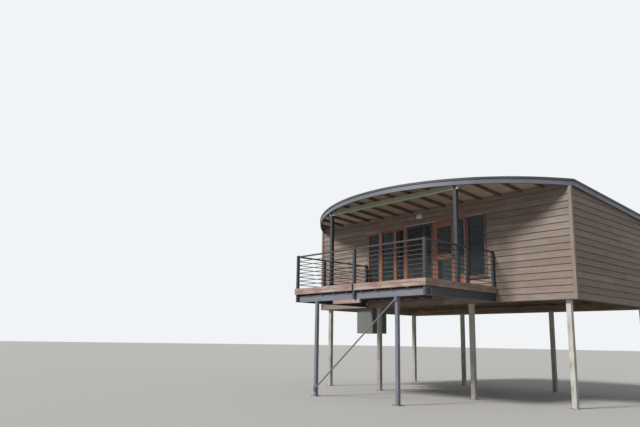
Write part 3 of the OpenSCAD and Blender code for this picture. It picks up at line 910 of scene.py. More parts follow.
@dataclass(frozen=True)
class Cladding:
    """Lapped boards over a wall's core, inside the wall's own thickness.

    Attributes:
        frame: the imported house.
        pitch: height of one course.
        step: how far a board's foot stands proud of the head of the one below.
        back: thickness of a board's head.
        longest: longest board.
        shortest: shortest piece at the end of a course.
        drop: how far below the floor's level a course starts.
    """

    frame: Frame
    pitch: float = 0.180
    step: float = 0.020
    back: float = 0.008
    longest: float = 4.2
    shortest: float = 0.6
    drop: float = 0.060

    @property
    def start(self) -> float:
        """Height at which the lowest course starts."""
        return self.frame.floor_z - 3 * self.pitch - self.drop

    @property
    def depth(self) -> float:
        """Depth of the boards in front of the core."""
        return self.step + self.back

    def board(self, bench: Bench, ends: Span, foot: float, tint: float) -> None:
        """Adds one lapped board, drawn for a wall that faces the front at depth 0.

        Args:
            bench: the mesh that takes it.
            ends: its ends along X.
            foot: height of its lower edge.
            tint: its tint.
        """
        verts = bench.block((ends[0], 0.0, foot), (ends[1], self.depth, foot + self.pitch), 0.0, 0, tint)
        for vert in verts:
            if vert.co.y < self.depth / 2 and vert.co.z > foot + self.pitch / 2:
                vert.co.y += self.step

    def plan(self, whole: Span, courses: int, seed: int) -> list[list[Board]]:
        """Draws the butt joints and tints of every course over a whole wall.

        Args:
            whole: ends of the wall along X.
            courses: number of its courses.
            seed: start of the random draw.

        Returns:
            Each course's boards as (left end, right end, tint).
        """
        dice = random.Random(seed)
        rows: list[list[Board]] = []
        for _ in range(courses):
            row: list[Board] = []
            left = whole[0]
            reach = left + dice.uniform(0.5, 1.0) * self.longest
            while left < whole[1] - 0.001:
                right = whole[1] if reach > whole[1] - self.shortest else reach
                gap = self.frame.butt if right < whole[1] else 0.0
                row.append((left, right - gap, dice.uniform(-1.0, 1.0)))
                left = right
                reach = left + dice.uniform(0.7, 1.0) * self.longest
            rows.append(row)
        return rows

    def stack(self, bench: Bench, ends: Span, heights: Span, start: float, rows: list[list[Board]]) -> None:
        """Adds the part of a wall's boards that one of its rectangles shows.

        Args:
            bench: the mesh that takes them.
            ends: ends of the rectangle along X.
            heights: its foot and top.
            start: height at which the first course starts.
            rows: the wall's boards.
        """
        part = Bench()
        sliver = 0.001
        for course, boards in enumerate(rows):
            foot = start + course * self.pitch
            if foot + self.pitch < heights[0] + sliver or foot > heights[1] - sliver:
                continue
            for left, right, tint in boards:
                span = (max(left, ends[0]), min(right, ends[1]))
                if span[1] - span[0] > sliver:
                    self.board(part, span, foot, tint)
        part.cut((0, 0, heights[0]), (0, 0, -1))
        part.cut((0, 0, heights[1]), (0, 0, 1))
        bench.join(part)

    def wall(self, name: str, node: str, facing: Facing, finish: Finish,
             areas: Sequence[tuple[Span, Span]] = (), sloped: bool = False) -> None:
        """Builds a boarded wall in place of a packed one.

        Args:
            name: name of the piece.
            node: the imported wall.
            facing: side that it faces.
            finish: finish of its boards.
            areas: the wall's rectangles as (ends, heights), in its own X and in Z; its whole box where none.
            sloped: whether the roof cuts its top.
        """
        low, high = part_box(node)
        turn, whole, (outer, inner) = facing.turned(low, high)
        rows = self.plan(whole, math.ceil((high.z - self.start) / self.pitch), sum(map(ord, node)))
        bench = Bench()
        for ends, heights in areas or [(whole, (low.z, high.z))]:
            bench.block((ends[0], self.depth, heights[0]), (ends[1], inner - outer, heights[1]), 0.0, 0, 0.0)
            self.stack(bench, ends, heights, self.start, rows)
        bench.move(turn @ Matrix.Translation((0, outer, 0)))
        if sloped:
            roof = self.frame.roof()
            bench.cut(roof @ Vector((0, 0, self.frame.rafter_h)), roof.to_3x3() @ Vector((0, 0, 1)))
        bench.deliver(name, [finish], replaces=[node])


@dataclass(frozen=True)
class Walls(Assembly):
    """The boarded walls, the corner trims and the cabinet under the floor."""

    def build(self) -> None:
        """Builds every wall in place of its plain solid."""
        boards = Cladding(self.frame)
        # Setting the lap paints shade under each lap of these boards.
        level, sideways = (replace(WEATHERBOARD.along(grain), lap=boards.pitch, lap_start=boards.start)
                           for grain in (Grain.ALONG_X, Grain.ALONG_Y))
        boards.wall("boards_front_left", "front_wall_left", Facing.FRONT, level)
        boards.wall("boards_front_right", "front_wall_right", Facing.FRONT, level)
        boards.wall("boards_front_base", "front_wall_base", Facing.FRONT, level, self.base_areas())
        boards.wall("boards_front_head", "front_wall_head", Facing.FRONT, level, sloped=True)
        boards.wall("boards_left", "left_wall", Facing.LEFT, sideways, sloped=True)
        boards.wall("boards_right", "right_wall", Facing.RIGHT, sideways, sloped=True)
        boards.wall("boards_back", "back_wall", Facing.BACK, level, self.back_areas(), True)
        self.frame.ease_node("corner_trims", WEATHERBOARD.along(Grain.ALONG_Z), 0.0025)
        self.cabinet()

    def base_areas(self) -> list[tuple[Span, Span]]:
        """Finds the wall under the openings, and the higher piece under the tall window.

        Returns:
            Each rectangle's ends and heights.
        """
        low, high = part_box("front_wall_base")
        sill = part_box("tall_window_frame")
        floor_z = self.frame.floor_z
        return [((low.x, high.x), (low.z, floor_z)), ((sill[0].x, sill[1].x), (floor_z, high.z))]

    def back_areas(self) -> list[tuple[Span, Span]]:
        """Finds the back wall's rectangles round its two windows.

        Returns:
            Each rectangle's ends, which are the same seen from behind, and its heights.
        """
        low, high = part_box("back_wall")
        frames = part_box("back_window_frames")
        left = (frames[0].x, frames[0].x + self.frame.back_window_w)
        right = (frames[1].x - self.frame.back_window_w, frames[1].x)
        beside = [(low.x, left[0]), (left[1], right[0]), (right[1], high.x)]
        areas = [(ends, (low.z, high.z)) for ends in beside]
        for window in (left, right):
            areas += [(window, (low.z, frames[0].z)), (window, (frames[1].z, high.z))]
        return areas

    def cabinet(self) -> None:
        """Builds the cabinet's plain box with narrow boards on all four sides."""
        low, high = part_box("underfloor_cabinet")
        boards = Cladding(self.frame, pitch=0.085, step=0.005, back=0.005, longest=3.0)
        skin = Vector((boards.depth, boards.depth, 0.0))
        corner = 0.0005
        bench = Bench()
        bench.block(low + skin, high - skin, 0.002, 0, 0.0)
        for facing in Facing:
            turn, (left, right), (outer, _) = facing.turned(low, high)
            ends = (left + corner, right - corner)
            rows = boards.plan(ends, math.ceil((high.z - low.z) / boards.pitch), facing.value)
            side = Bench()
            boards.stack(side, ends, (low.z, high.z), low.z, rows)
            side.move(turn @ Matrix.Translation((0, outer, 0)))
            bench.join(side)
        bench.deliver("boards_cabinet", [CABINET_COLOUR_PAINTED_SHADE], replaces=["underfloor_cabinet"])


@dataclass(frozen=True)
class Deck(Assembly):
    """Deck boards, edge boards, joists and steel beams with their fixings.

    Attributes:
        board_w: width of a deck board.
        board_gap: gap between two deck boards.
        narrowest: narrowest strip that is still laid.
        shortest: shortest board beside a butt joint.
        butted_share: share of the rows that have a butt joint.
        post_gap: gap between a board and a post.
        joist_t: thickness of a joist.
        joist_count: number of joists.
        screw_inset: distance of the deck screws from a board's edges.
        edge_screws: depths of the edge boards' screws below the deck.
        packer_bolts: distances of the packer's bolts from its two ends.
        post_bolt_rise: height of a post's bolts above and below the beam's middle.
        side_bolt_rise: height of a side beam's bolts above and below its middle.
        side_bolt_back: distance of a side beam's bolts behind the front beam.
    """

    board_w: float = 0.088
    board_gap: float = 0.004
    narrowest: float = 0.020
    shortest: float = 0.800
    butted_share: float = 0.75
    post_gap: float = 0.001
    joist_t: float = 0.045
    joist_count: int = 10
    screw_inset: float = 0.020
    edge_screws: Span = (0.044, 0.136)
    packer_bolts: Span = (0.120, 0.300)
    post_bolt_rise: float = 0.050
    side_bolt_rise: float = 0.045
    side_bolt_back: float = 0.080

    def build(self) -> None:
        """Builds the deck from its boards down to its beams."""
        self.boards()
        self.frame.ease_node("deck_edge_boards", EDGE_TIMBER, 0.004, 21)
        self.frame.ease_node("deck_joists", SHADE_PAINTED_JOIST_WOOD, 0.003, 22)
        self.frame.ease_node("beam_packer", DECKING, 0.004, 23)
        self.frame.ease_node("deck_front_beam", PALE_STEEL, 0.003)
        self.frame.ease_node("deck_side_beams", DARK_STEEL, 0.003)
        self.fixings()

    def joists(self) -> list[float]:
        """Finds the joists.

        Returns:
            The centre of each along X.
        """
        low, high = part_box("deck_joists")
        first, last = low.x + self.joist_t / 2, high.x - self.joist_t / 2
        return [first + i * (last - first) / (self.joist_count - 1) for i in range(self.joist_count)]

    def boards(self) -> None:
        """Lays the deck boards along X, cut round the front posts, with their screws."""
        low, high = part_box("deck_boards")
        posts = [(x[0] - self.post_gap, x[1] + self.post_gap) for x, _ in self.frame.front_posts()]
        post_back = low.y + self.frame.post_side + self.post_gap
        bench, screws = Bench(5), Bench(6)
        row = low.y
        while row < high.y - self.narrowest:
            depth = (row, min(row + self.board_w, high.y))
            stretches = [(low.x, high.x)]
            if row < post_back:
                stretches = [(left[1], right[0]) for left, right in zip(posts, posts[1:])]
            for ends in stretches:
                self.lay(bench, ends, depth, (low.z, high.z))
            self.screw_row(screws, stretches, depth, high.z)
            row = depth[1] + self.board_gap
        bench.deliver("laid_deck_boards", [DECKING], replaces=["deck_boards"])
        screws.deliver("deck_screws", [SCREWS])

    def lay(self, bench: Bench, ends: Span, depth: Span, heights: Span) -> None:
        """Lays one row of boards, mostly butted over a joist that is drawn at random.

        Args:
            bench: the mesh that takes them.
            ends: ends of the row along X.
            depth: front and back of the row along Y.
            heights: underside and top of the boards.
        """
        inner = [x for x in self.joists() if ends[0] + self.shortest < x < ends[1] - self.shortest]
        butted = bool(inner) and bench.dice.random() < self.butted_share
        cuts = [ends[0], bench.dice.choice(inner), ends[1]] if butted else list(ends)
        for left, right in zip(cuts, cuts[1:]):
            gap = self.frame.butt if right < ends[1] else 0.0
            bench.block((left, depth[0], heights[0]), (right - gap, depth[1], heights[1]), 0.003)

    def screw_row(self, screws: Bench, stretches: Sequence[Span], depth: Span, top: float) -> None:
        """Sets two screw heads in a row of boards over every joist.

        Args:
            screws: the mesh that takes them.
            stretches: ends of the row's boards along X.
            depth: front and back of the row along Y.
            top: height of the boards' top.
        """
        for x in self.joists():
            if any(ends[0] + 0.01 < x < ends[1] - 0.01 for ends in stretches):
                for y in (depth[0] + self.screw_inset, depth[1] - self.screw_inset):
                    screws.rod((x, y, top - 0.003), (x, y, top + 0.0004), 0.0045, 8)

    def fixings(self) -> None:
        """Sets the screws of the edge boards and the bolts of the packer, the posts and the side beams."""
        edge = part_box("deck_edge_boards")[0].y
        low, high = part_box("deck_front_beam")
        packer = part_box("beam_packer")
        bench = Bench()
        for x in self.joists():
            for z in (self.frame.floor_z - drop for drop in self.edge_screws):
                bench.rod((x, edge + 0.004, z), (x, edge + 0.0005, z), 0.0055, 10, 0.0012)
        for x in (packer[0].x + self.packer_bolts[0], packer[1].x - self.packer_bolts[1]):
            bench.bolt((x, packer[0].y, (packer[0].z + packer[1].z) / 2), (0, -1, 0))
        middle = (low.z + high.z) / 2
        for span, depth in self.frame.front_posts():
            for z in (middle - self.post_bolt_rise, middle + self.post_bolt_rise):
                bench.bolt(((span[0] + span[1]) / 2, depth[0], z), (0, -1, 0))
        for x in (low.x, high.x):
            for z in (middle - self.side_bolt_rise, middle + self.side_bolt_rise):
                bench.bolt((x, high.y + self.side_bolt_back, z), (x, 0, 0))
        bench.deliver("deck_bolts", [BOLTS])


@dataclass(frozen=True)
class Stilts(Assembly):
    """Stilts with their plates, bolts and shoes, the brace and the floor frame they carry.

    Attributes:
        plate_t: thickness of a base plate.
        plate_side: side of a base plate.
        bolt_inset: distance of the anchor bolts from a plate's edges.
        timber_side: side of a timber stilt.
        shoe_t: thickness of a post shoe's cheek.
        shoe_h: height of a cheek.
        shoe_w: width of a cheek.
        shoe_bolts: heights of a cheek's bolts above the plate.
        lug_w: width of a brace lug.
        lug_h: height of a brace lug.
        lug_back: distance of a lug's face behind the brace's front.
        lug_in: distances of the two lugs' middles inside the brace's foot and head.
        lug_bolt: height of a lug's bolts above and below its middle.
    """

    plate_t: float = 0.016
    plate_side: float = 0.220
    bolt_inset: float = 0.030
    timber_side: float = 0.125
    shoe_t: float = 0.006
    shoe_h: float = 0.200
    shoe_w: float = 0.080
    shoe_bolts: Span = (0.070, 0.150)
    lug_w: float = 0.080
    lug_h: float = 0.140
    lug_back: float = 0.012
    lug_in: Span = (0.030, 0.020)
    lug_bolt: float = 0.040

    def build(self) -> None:
        """Builds the stilts from their base plates up."""
        self.frame.ease_node("front_stilts", PALE_STEEL, 0.002)
        for node in ("middle_stilts", "back_stilts"):
            self.timber_row(node)
        self.frame.finish_node("stilt_brace", PALE_STEEL)
        self.brace_ends()
        self.frame.ease_node("bearers", FRAMING.along(Grain.ALONG_X), 0.004, 31)
        self.frame.ease_node("floor_joists", FRAMING.along(Grain.ALONG_Y), 0.003, 32)
        self.anchors()

    def timber_row(self, node: str) -> None:
        """Replaces a row of timber stilts by eased posts on steel plates.

        Args:
            node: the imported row.
        """
        bench = Bench(41)
        bench.node_copy(self.frame.nodes[node].data, 0.004)
        bench.tint_solids()
        for face in bench.bm.faces:
            face.material_index = int(max(vert.co.z for vert in face.verts) < self.plate_t + 0.001)
        bench.deliver(f"eased_{node}", [PALE_STILT_WOOD_WITH_PAINTED_LIGHT, SHOE_PLATES], replaces=[node])

    def centres(self, node: str) -> list[Vector]:
        """Finds the stilts of a row from the corners of their plates.

        Args:
            node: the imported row.

        Returns:
            The centre of each plate on the ground.
        """
        low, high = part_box(node)
        feet = self.frame.nodes[node].data.vertices
        lefts = sorted({round(vert.co.x, 4) for vert in feet if vert.co.z < 0.001})[::2]
        return [Vector((x + self.plate_side / 2, (low.y + high.y) / 2, 0.0)) for x in lefts]

    def anchors(self) -> None:
        """Sets four anchor bolts in every plate, and shoes round the timber stilts."""
        bench = Bench(8)
        reach = self.plate_side / 2 - self.bolt_inset
        for node in ("front_stilts", "middle_stilts", "back_stilts"):
            for centre in self.centres(node):
                for side in (-1, 1):
                    for end in (-1, 1):
                        bench.bolt(centre + Vector((side * reach, end * reach, self.plate_t)), (0, 0, 1))
                    if node != "front_stilts":
                        self.shoe(bench, centre, side)
        bench.deliver("stilt_anchors", [BOLTS])

    def shoe(self, bench: Bench, centre: Vector, side: int) -> None:
        """Adds one cheek of a post shoe with its two bolts.

        Args:
            bench: the mesh that takes it.
            centre: centre of the stilt on the ground.
            side: -1 for the left cheek, 1 for the right one.
        """
        outer = centre.x + side * (self.timber_side / 2 + self.shoe_t)
        left, right = sorted((centre.x + side * self.timber_side / 2, outer))
        bench.block((left, centre.y - self.shoe_w / 2, self.plate_t),
                    (right, centre.y + self.shoe_w / 2, self.plate_t + self.shoe_h), 0.001)
        for z in self.shoe_bolts:
            bench.bolt((outer, centre.y, self.plate_t + z), (side, 0, 0), 0.012)

    def brace_ends(self) -> None:
        """Adds the lugs that bolt the brace to the two front stilts."""
        low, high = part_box("stilt_brace")
        face_y = low.y + self.lug_back
        middles = (low.z + self.lug_in[0], high.z - self.lug_in[1])
        bench = Bench(9)
        for centre, z in zip(self.centres("front_stilts"), middles):
            bench.block((centre.x - self.lug_w / 2, face_y, z - self.lug_h / 2),
                        (centre.x + self.lug_w / 2, high.y, z + self.lug_h / 2), 0.004)
            for rise in (-self.lug_bolt, self.lug_bolt):
                bench.bolt((centre.x, face_y, z + rise), (0, -1, 0))
        bench.deliver("brace_lugs", [PALE_STEEL])


@dataclass(frozen=True)
class RoofWork(Assembly):
    """Corrugated sheet, edge trim, fascias, rafters, lining, beam and posts.

    Attributes:
        wave: width of one corrugation.
        wave_h: height of one corrugation.
        wave_steps: facets across one corrugation.
        sheet_out: how far the sheet's solid stands out of the fascia.
        sheet_inset: how far the corrugated sheet stays inside its solid.
        back_overhang: how far the back fascia stands out of the back wall.
        capping_drop: how far the capping hangs below the sheet's solid.
        capping_h: height of the capping above the sheet's underside.
        capping_back: how far the capping reaches over the sheet.
        capping_t: thickness of the capping.
        lip_foot: height of the fascia's foot in the roof's flat frame.
        lip_h: height of the fascia's rolled lip.
        lip_back: how far the lip reaches behind the fascia's outer face.
        roll: how far the lip stands out, and the bevel of its edges.
        lining_w: width of a lining board.
        lining_gap: gap between two lining boards.
        strip_h: height of the pale strip along the beam.
        strip_out: how far the strip stands out of the beam.
        post_side: side of a roof post.
    """

    wave: float = 0.076
    wave_h: float = 0.018
    wave_steps: int = 8
    sheet_out: float = 0.020
    sheet_inset: float = 0.003
    back_overhang: float = 0.060
    capping_drop: float = 0.026
    capping_h: float = 0.0295
    capping_back: float = 0.045
    capping_t: float = 0.002
    lip_foot: float = -0.055
    lip_h: float = 0.018
    lip_back: float = 0.034
    roll: float = 0.004
    lining_w: float = 0.135
    lining_gap: float = 0.0003
    strip_h: float = 0.028
    strip_out: float = 0.005
    post_side: float = 0.100

    def build(self) -> None:
        """Builds the roof from the sheet down to its posts."""
        self.sheet()
        self.edge_trim()
        self.fascia_lip()
        self.lining()
        self.frame.finish_node("front_fascia", FASCIA_STEEL)
        self.frame.ease_node("side_and_back_fascias", FASCIA_STEEL, 0.0015)
        self.frame.ease_node("rafters", RAFTER_TIMBER, 0.003, 51)
        self.beam()
        self.frame.ease_node("roof_posts", DARK_STEEL, 0.003)
        self.post_plates()

    @property
    def sheet_z(self) -> float:
        """Underside of the sheet's solid in the roof's flat frame."""
        return self.frame.rafter_h + self.frame.lining_t + 0.001

    @property
    def back_y(self) -> float:
        """Back edge of the sheet's solid in the roof's flat frame."""
        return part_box("back_wall")[1].y + self.back_overhang + self.sheet_out

    def sheet(self) -> None:
        """Builds the corrugated sheet, its front cut along the bow."""
        width = 2 * (self.frame.roof_half + self.sheet_out - self.sheet_inset)
        bench = Bench()
        bmesh.ops.create_grid(bench.bm, x_segments=round(width / self.wave * self.wave_steps), y_segments=3,
                              size=0.5)
        for vert in bench.bm.verts:
            x, share = vert.co.x * width, vert.co.y + 0.5
            front = self.frame.bow_front(x, self.sheet_out - self.sheet_inset)
            wave = 0.5 + 0.5 * math.cos(2 * math.pi * x / self.wave)
            vert.co = Vector((x, front + share * (self.back_y - self.sheet_inset - front),
                              self.sheet_z + self.sheet_inset + wave * self.wave_h))
        for face in bench.bm.faces:
            face.smooth = True
        bmesh.ops.solidify(bench.bm, geom=list(bench.bm.faces), thickness=0.0012)
        bench.move(self.frame.roof())
        bench.deliver("corrugated_sheet", [ROOF_STEEL], replaces=["roof_sheet"])
        self.roof_screws(int(width / 2 / self.wave))

    def roof_screws(self, waves: int) -> None:
        """Sets rows of roofing screws on every third crest of the sheet.

        Args:
            waves: number of crests on each side of the middle.
        """
        bench = Bench()
        roof = self.frame.roof()
        rows, first, last, clear = 9, 0.3, 0.2, 0.1
        pitch = (self.back_y - self.frame.bow_y - first - last) / (rows - 1)
        crest = self.sheet_z + self.sheet_inset + self.wave_h
        for x in (column * self.wave for column in range(-waves, waves + 1, 3)):
            for y in (self.frame.bow_y + first + row * pitch for row in range(rows)):
                if y < self.frame.bow_front(x, -clear):
                    continue
                foot, washer, head = (roof @ Vector((x, y, crest + rise)) for rise in (0.0, 0.002, 0.0065))
                bench.rod(foot, washer, 0.009, 8)
                bench.rod(washer, head, 0.005, 6)
        bench.deliver("roof_screws", [SCREWS])

    def swept(self, name: str, profile: Sequence[Span], finish: Finish) -> None:
        """Sweeps a trim's profile along the bow and the roof's two sides and back.

        Args:
            name: name of the piece.
            profile: corners as (distance outside the fascia's outer face, height), in the roof's flat frame.
            finish: its finish.
        """
        bench = Bench()
        radius, centre, half = self.frame.bow_radius, self.frame.bow_centre, self.frame.roof_half
        reach = math.asin(half / radius)
        corners = [bench.bm.verts.new((0.0, centre - radius - out, z)) for out, z in profile]
        face = bench.bm.faces.new(corners)
        middle = Matrix.Translation((0, centre, 0))
        bench.move(middle @ Matrix.Rotation(-reach, 4, "Z") @ middle.inverted())
        bmesh.ops.spin(bench.bm, geom=[*face.verts, *face.edges, face], cent=(0, centre, 0), axis=(0, 0, 1),
                       angle=2 * reach, steps=96, use_merge=False, use_duplicate=False, dvec=(0, 0, 0))
        side_y = centre - radius * math.cos(reach)
        back = self.back_y - self.sheet_out
        outmost = max(out for out, _ in profile)
        for side in (-half, half):
            self.straight(bench, profile, Vector((side, side_y, 0)), Vector((side, back + outmost, 0)))
        self.straight(bench, profile, Vector((-half, back, 0)), Vector((half, back, 0)))
        bench.move(self.frame.roof())
        bench.deliver(name, [finish])

    @staticmethod
    def straight(bench: Bench, profile: Sequence[Span], start: Vector, end: Vector) -> None:
        """Extrudes a profile along one straight edge of the roof.

        Args:
            bench: the mesh that takes it.
            profile: corners as (distance outwards, height).
            start: start of the edge, which leads back on a side and along X at the back.
            end: end of the edge.
        """
        out = Vector((math.copysign(1, start.x), 0, 0)) if start.x == end.x else Vector((0, 1, 0))
        corners = [bench.bm.verts.new(start + out * distance + Vector((0, 0, z))) for distance, z in profile]
        made = bmesh.ops.extrude_face_region(bench.bm, geom=[bench.bm.faces.new(corners)])
        verts = [item for item in made["geom"] if isinstance(item, Vert)]
        bmesh.ops.translate(bench.bm, verts=verts, vec=end - start)

    def edge_trim(self) -> None:
        """Builds the thin dark capping over the sheet's edge, which hangs down over the fascia's top."""
        low, high = self.sheet_z - self.capping_drop, self.sheet_z + self.capping_h
        out = self.sheet_out - 0.0005
        inner = out - self.capping_t
        under = high - self.capping_t
        self.swept("roof_edge_trim", [(inner, low), (out, low), (out, high), (-self.capping_back, high),
                                      (-self.capping_back, under), (inner, under)], EDGE_TRIM)

    def fascia_lip(self) -> None:
        """Builds the rolled lower lip of the fascia, wrapped round its foot."""
        foot, top = self.lip_foot, self.lip_foot + self.lip_h
        inner, out, side_top = -self.lip_back, self.roll, top - self.roll
        self.swept("fascia_lip", [(inner, foot), (out, foot), (out, side_top), (0.0, top),
                                  (inner + self.roll, top), (inner, side_top)], FASCIA_STEEL)

    def lining(self) -> None:
        """Builds the lining boards over the rafters, cut to the solid's outline."""
        low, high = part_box("roof_lining")
        margin = 0.1
        foot = self.frame.rafter_h + 0.001
        top = self.frame.rafter_h + self.frame.lining_t
        bench = Bench(16)
        y = low.y - margin
        while y < high.y + margin:
            back = y + self.lining_w - self.lining_gap
            bench.block((low.x - margin, y, foot), (high.x + margin, back, top), 0.0022)
            y += self.lining_w
        bench.move(self.frame.roof())
        piece = bench.deliver("lining_boards", [LINING_TIMBER], replaces=["roof_lining"])
        self.trim_to_node(piece, self.frame.nodes["roof_lining"])

    @staticmethod
    def trim_to_node(piece: bpy.types.Object, node: bpy.types.Object) -> None:
        """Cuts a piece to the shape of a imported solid.

        Args:
            piece: the piece to cut.
            node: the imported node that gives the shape.
        """
        bench = Bench()
        bench.node_copy(node.data)
        cutter_mesh = bench.mesh("cutter")
        cutter = add_object("cutter", cutter_mesh)
        modifier = piece.modifiers.new("outline", "BOOLEAN")
        modifier.operation = "INTERSECT"
        modifier.solver = "EXACT"
        modifier.object = cutter
        bpy.context.view_layer.update()
        result = bpy.data.meshes.new_from_object(piece.evaluated_get(bpy.context.evaluated_depsgraph_get()))
        whole = piece.data
        piece.modifiers.clear()
        piece.data = result
        result.name = whole.name
        bpy.data.meshes.remove(whole)
        bpy.data.objects.remove(cutter)
        bpy.data.meshes.remove(cutter_mesh)

    def beam(self) -> None:
        """Builds the verandah beam with its pale ends and the pale strip along its lower front edge."""
        bench = Bench(18)
        bench.node_copy(self.frame.nodes["verandah_beam"].data, 0.004)
        for face in bench.bm.faces:
            face.material_index = int(abs(face.normal.x) > 0.9)
        low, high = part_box("verandah_beam")
        inset = 0.001
        bench.block((low.x + inset, low.y - self.strip_out, low.z),
                    (high.x - inset, low.y, low.z + self.strip_h), 0.001, 2)
        bench.deliver("painted_verandah_beam", [BEAM_PAINT, FLASHING, STRIP_PAINT],
                      replaces=["verandah_beam"])

    def post_plates(self) -> None:
        """Adds base plates under the roof posts and brackets at their heads."""
        low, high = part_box("roof_posts")
        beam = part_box("verandah_beam")
        plate_t, bracket_t, wide, narrow, half_plate, half_bracket = 0.010, 0.006, 0.060, 0.040, 0.080, 0.050
        middle_y, top = (low.y + high.y) / 2, high.z
        bench = Bench(17)
        for x in (low.x + self.post_side / 2, high.x - self.post_side / 2):
            left, right = (x - narrow, x + wide) if x < 0 else (x - wide, x + narrow)
            bench.block((left, middle_y - half_plate, low.z), (right, middle_y + half_plate, low.z + plate_t),
                        0.0015)
            bench.block((x - wide, beam[0].y, top - 0.001), (x + wide, beam[1].y, top + 0.008), 0.001)
            for face_y, out in ((beam[0].y, -1), (beam[1].y, 1)):
                outer = face_y + out * bracket_t
                front, back = sorted((face_y, outer))
                bench.block((x - half_bracket, front, top - 0.06), (x + half_bracket, back, top + 0.11),
                            0.001)
                for rise in (0.040, 0.085):
                    bench.bolt((x, outer, top + rise), (0, out, 0), 0.012)
        bench.deliver("roof_post_plates", [DARK_STEEL])


@dataclass(frozen=True)
class Beads:
    """Glazing beads that hold a pane from both sides.

    Attributes:
        width: width of a bead.
        near: distance of a bead from the pane's middle.
        far: distance of its outer face from the pane's middle.
        ease: width of the chamfer along its edges.
    """

    width: float = 0.016
    near: float = 0.004
    far: float = 0.018
    ease: float = 0.004

    def set(self, bench: Bench, light: Span, depth: Span, heights: Span) -> None:
        """Adds the beads on both sides of one pane.

        Args:
            bench: the mesh that takes them.
            light: the opening along X.
            depth: front and back of the frame.
            heights: foot and head of the opening.
        """
        middle = (depth[0] + depth[1]) / 2
        for side in (-1, 1):
            front, back = sorted((middle + side * self.near, middle + side * self.far))
            for x in (light[0], light[1] - self.width):
                bench.block((x, front, heights[0]), (x + self.width, back, heights[1]), self.ease)
            for z in (heights[0], heights[1] - self.width):
                bench.block((light[0] + self.width, front, z), (light[1] - self.width, back, z + self.width),
                            self.ease, 1)


@dataclass(frozen=True)
class Joinery:
    """A framed window: its members and its beads.

    Attributes:
        name: name of the piece.
        node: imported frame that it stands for.
        jamb: width of the left jamb.
        last_jamb: width of the right jamb.
        rail: height of the head and the sill.
        bars: each bar between as (centre, width).
        finishes: finish of the uprights and of the level members.
    """

    name: str
    node: str
    jamb: float
    last_jamb: float
    rail: float
    bars: tuple[Span, ...]
    finishes: tuple[Finish, Finish]

    def members(self, bench: Bench, ends: Span, depth: Span, heights: Span) -> None:
        """Adds jambs, bars, head, sill and beads.

        Args:
            bench: the mesh that takes them.
            ends: ends of the frame along X.
            depth: front and back of the frame.
            heights: foot and head of the frame.
        """
        edges = [ends[0], ends[0] + self.jamb]
        for centre, width in self.bars:
            edges += [centre - width / 2, centre + width / 2]
        edges += [ends[1] - self.last_jamb, ends[1]]
        for left, right in zip(edges[::2], edges[1::2]):
            bench.block((left, depth[0], heights[0]), (right, depth[1], heights[1]), 0.003)
        lights = list(zip(edges[1::2], edges[2::2]))
        sill, head = heights[0] + self.rail, heights[1] - self.rail
        for left, right in lights:
            for low, high in ((heights[0], sill), (head, heights[1])):
                bench.block((left, depth[0] + 0.002, low), (right, depth[1] - 0.002, high), 0.003, 1)
        for light in lights:
            Beads().set(bench, light, depth, (sill, head))

    def build(self) -> None:
        """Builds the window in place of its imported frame."""
        low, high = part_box(self.node)
        bench = Bench(sum(map(ord, self.name)))
        self.members(bench, (low.x, high.x), (low.y, high.y), (low.z, high.z))
        bench.deliver(self.name, self.finishes, replaces=[self.node])


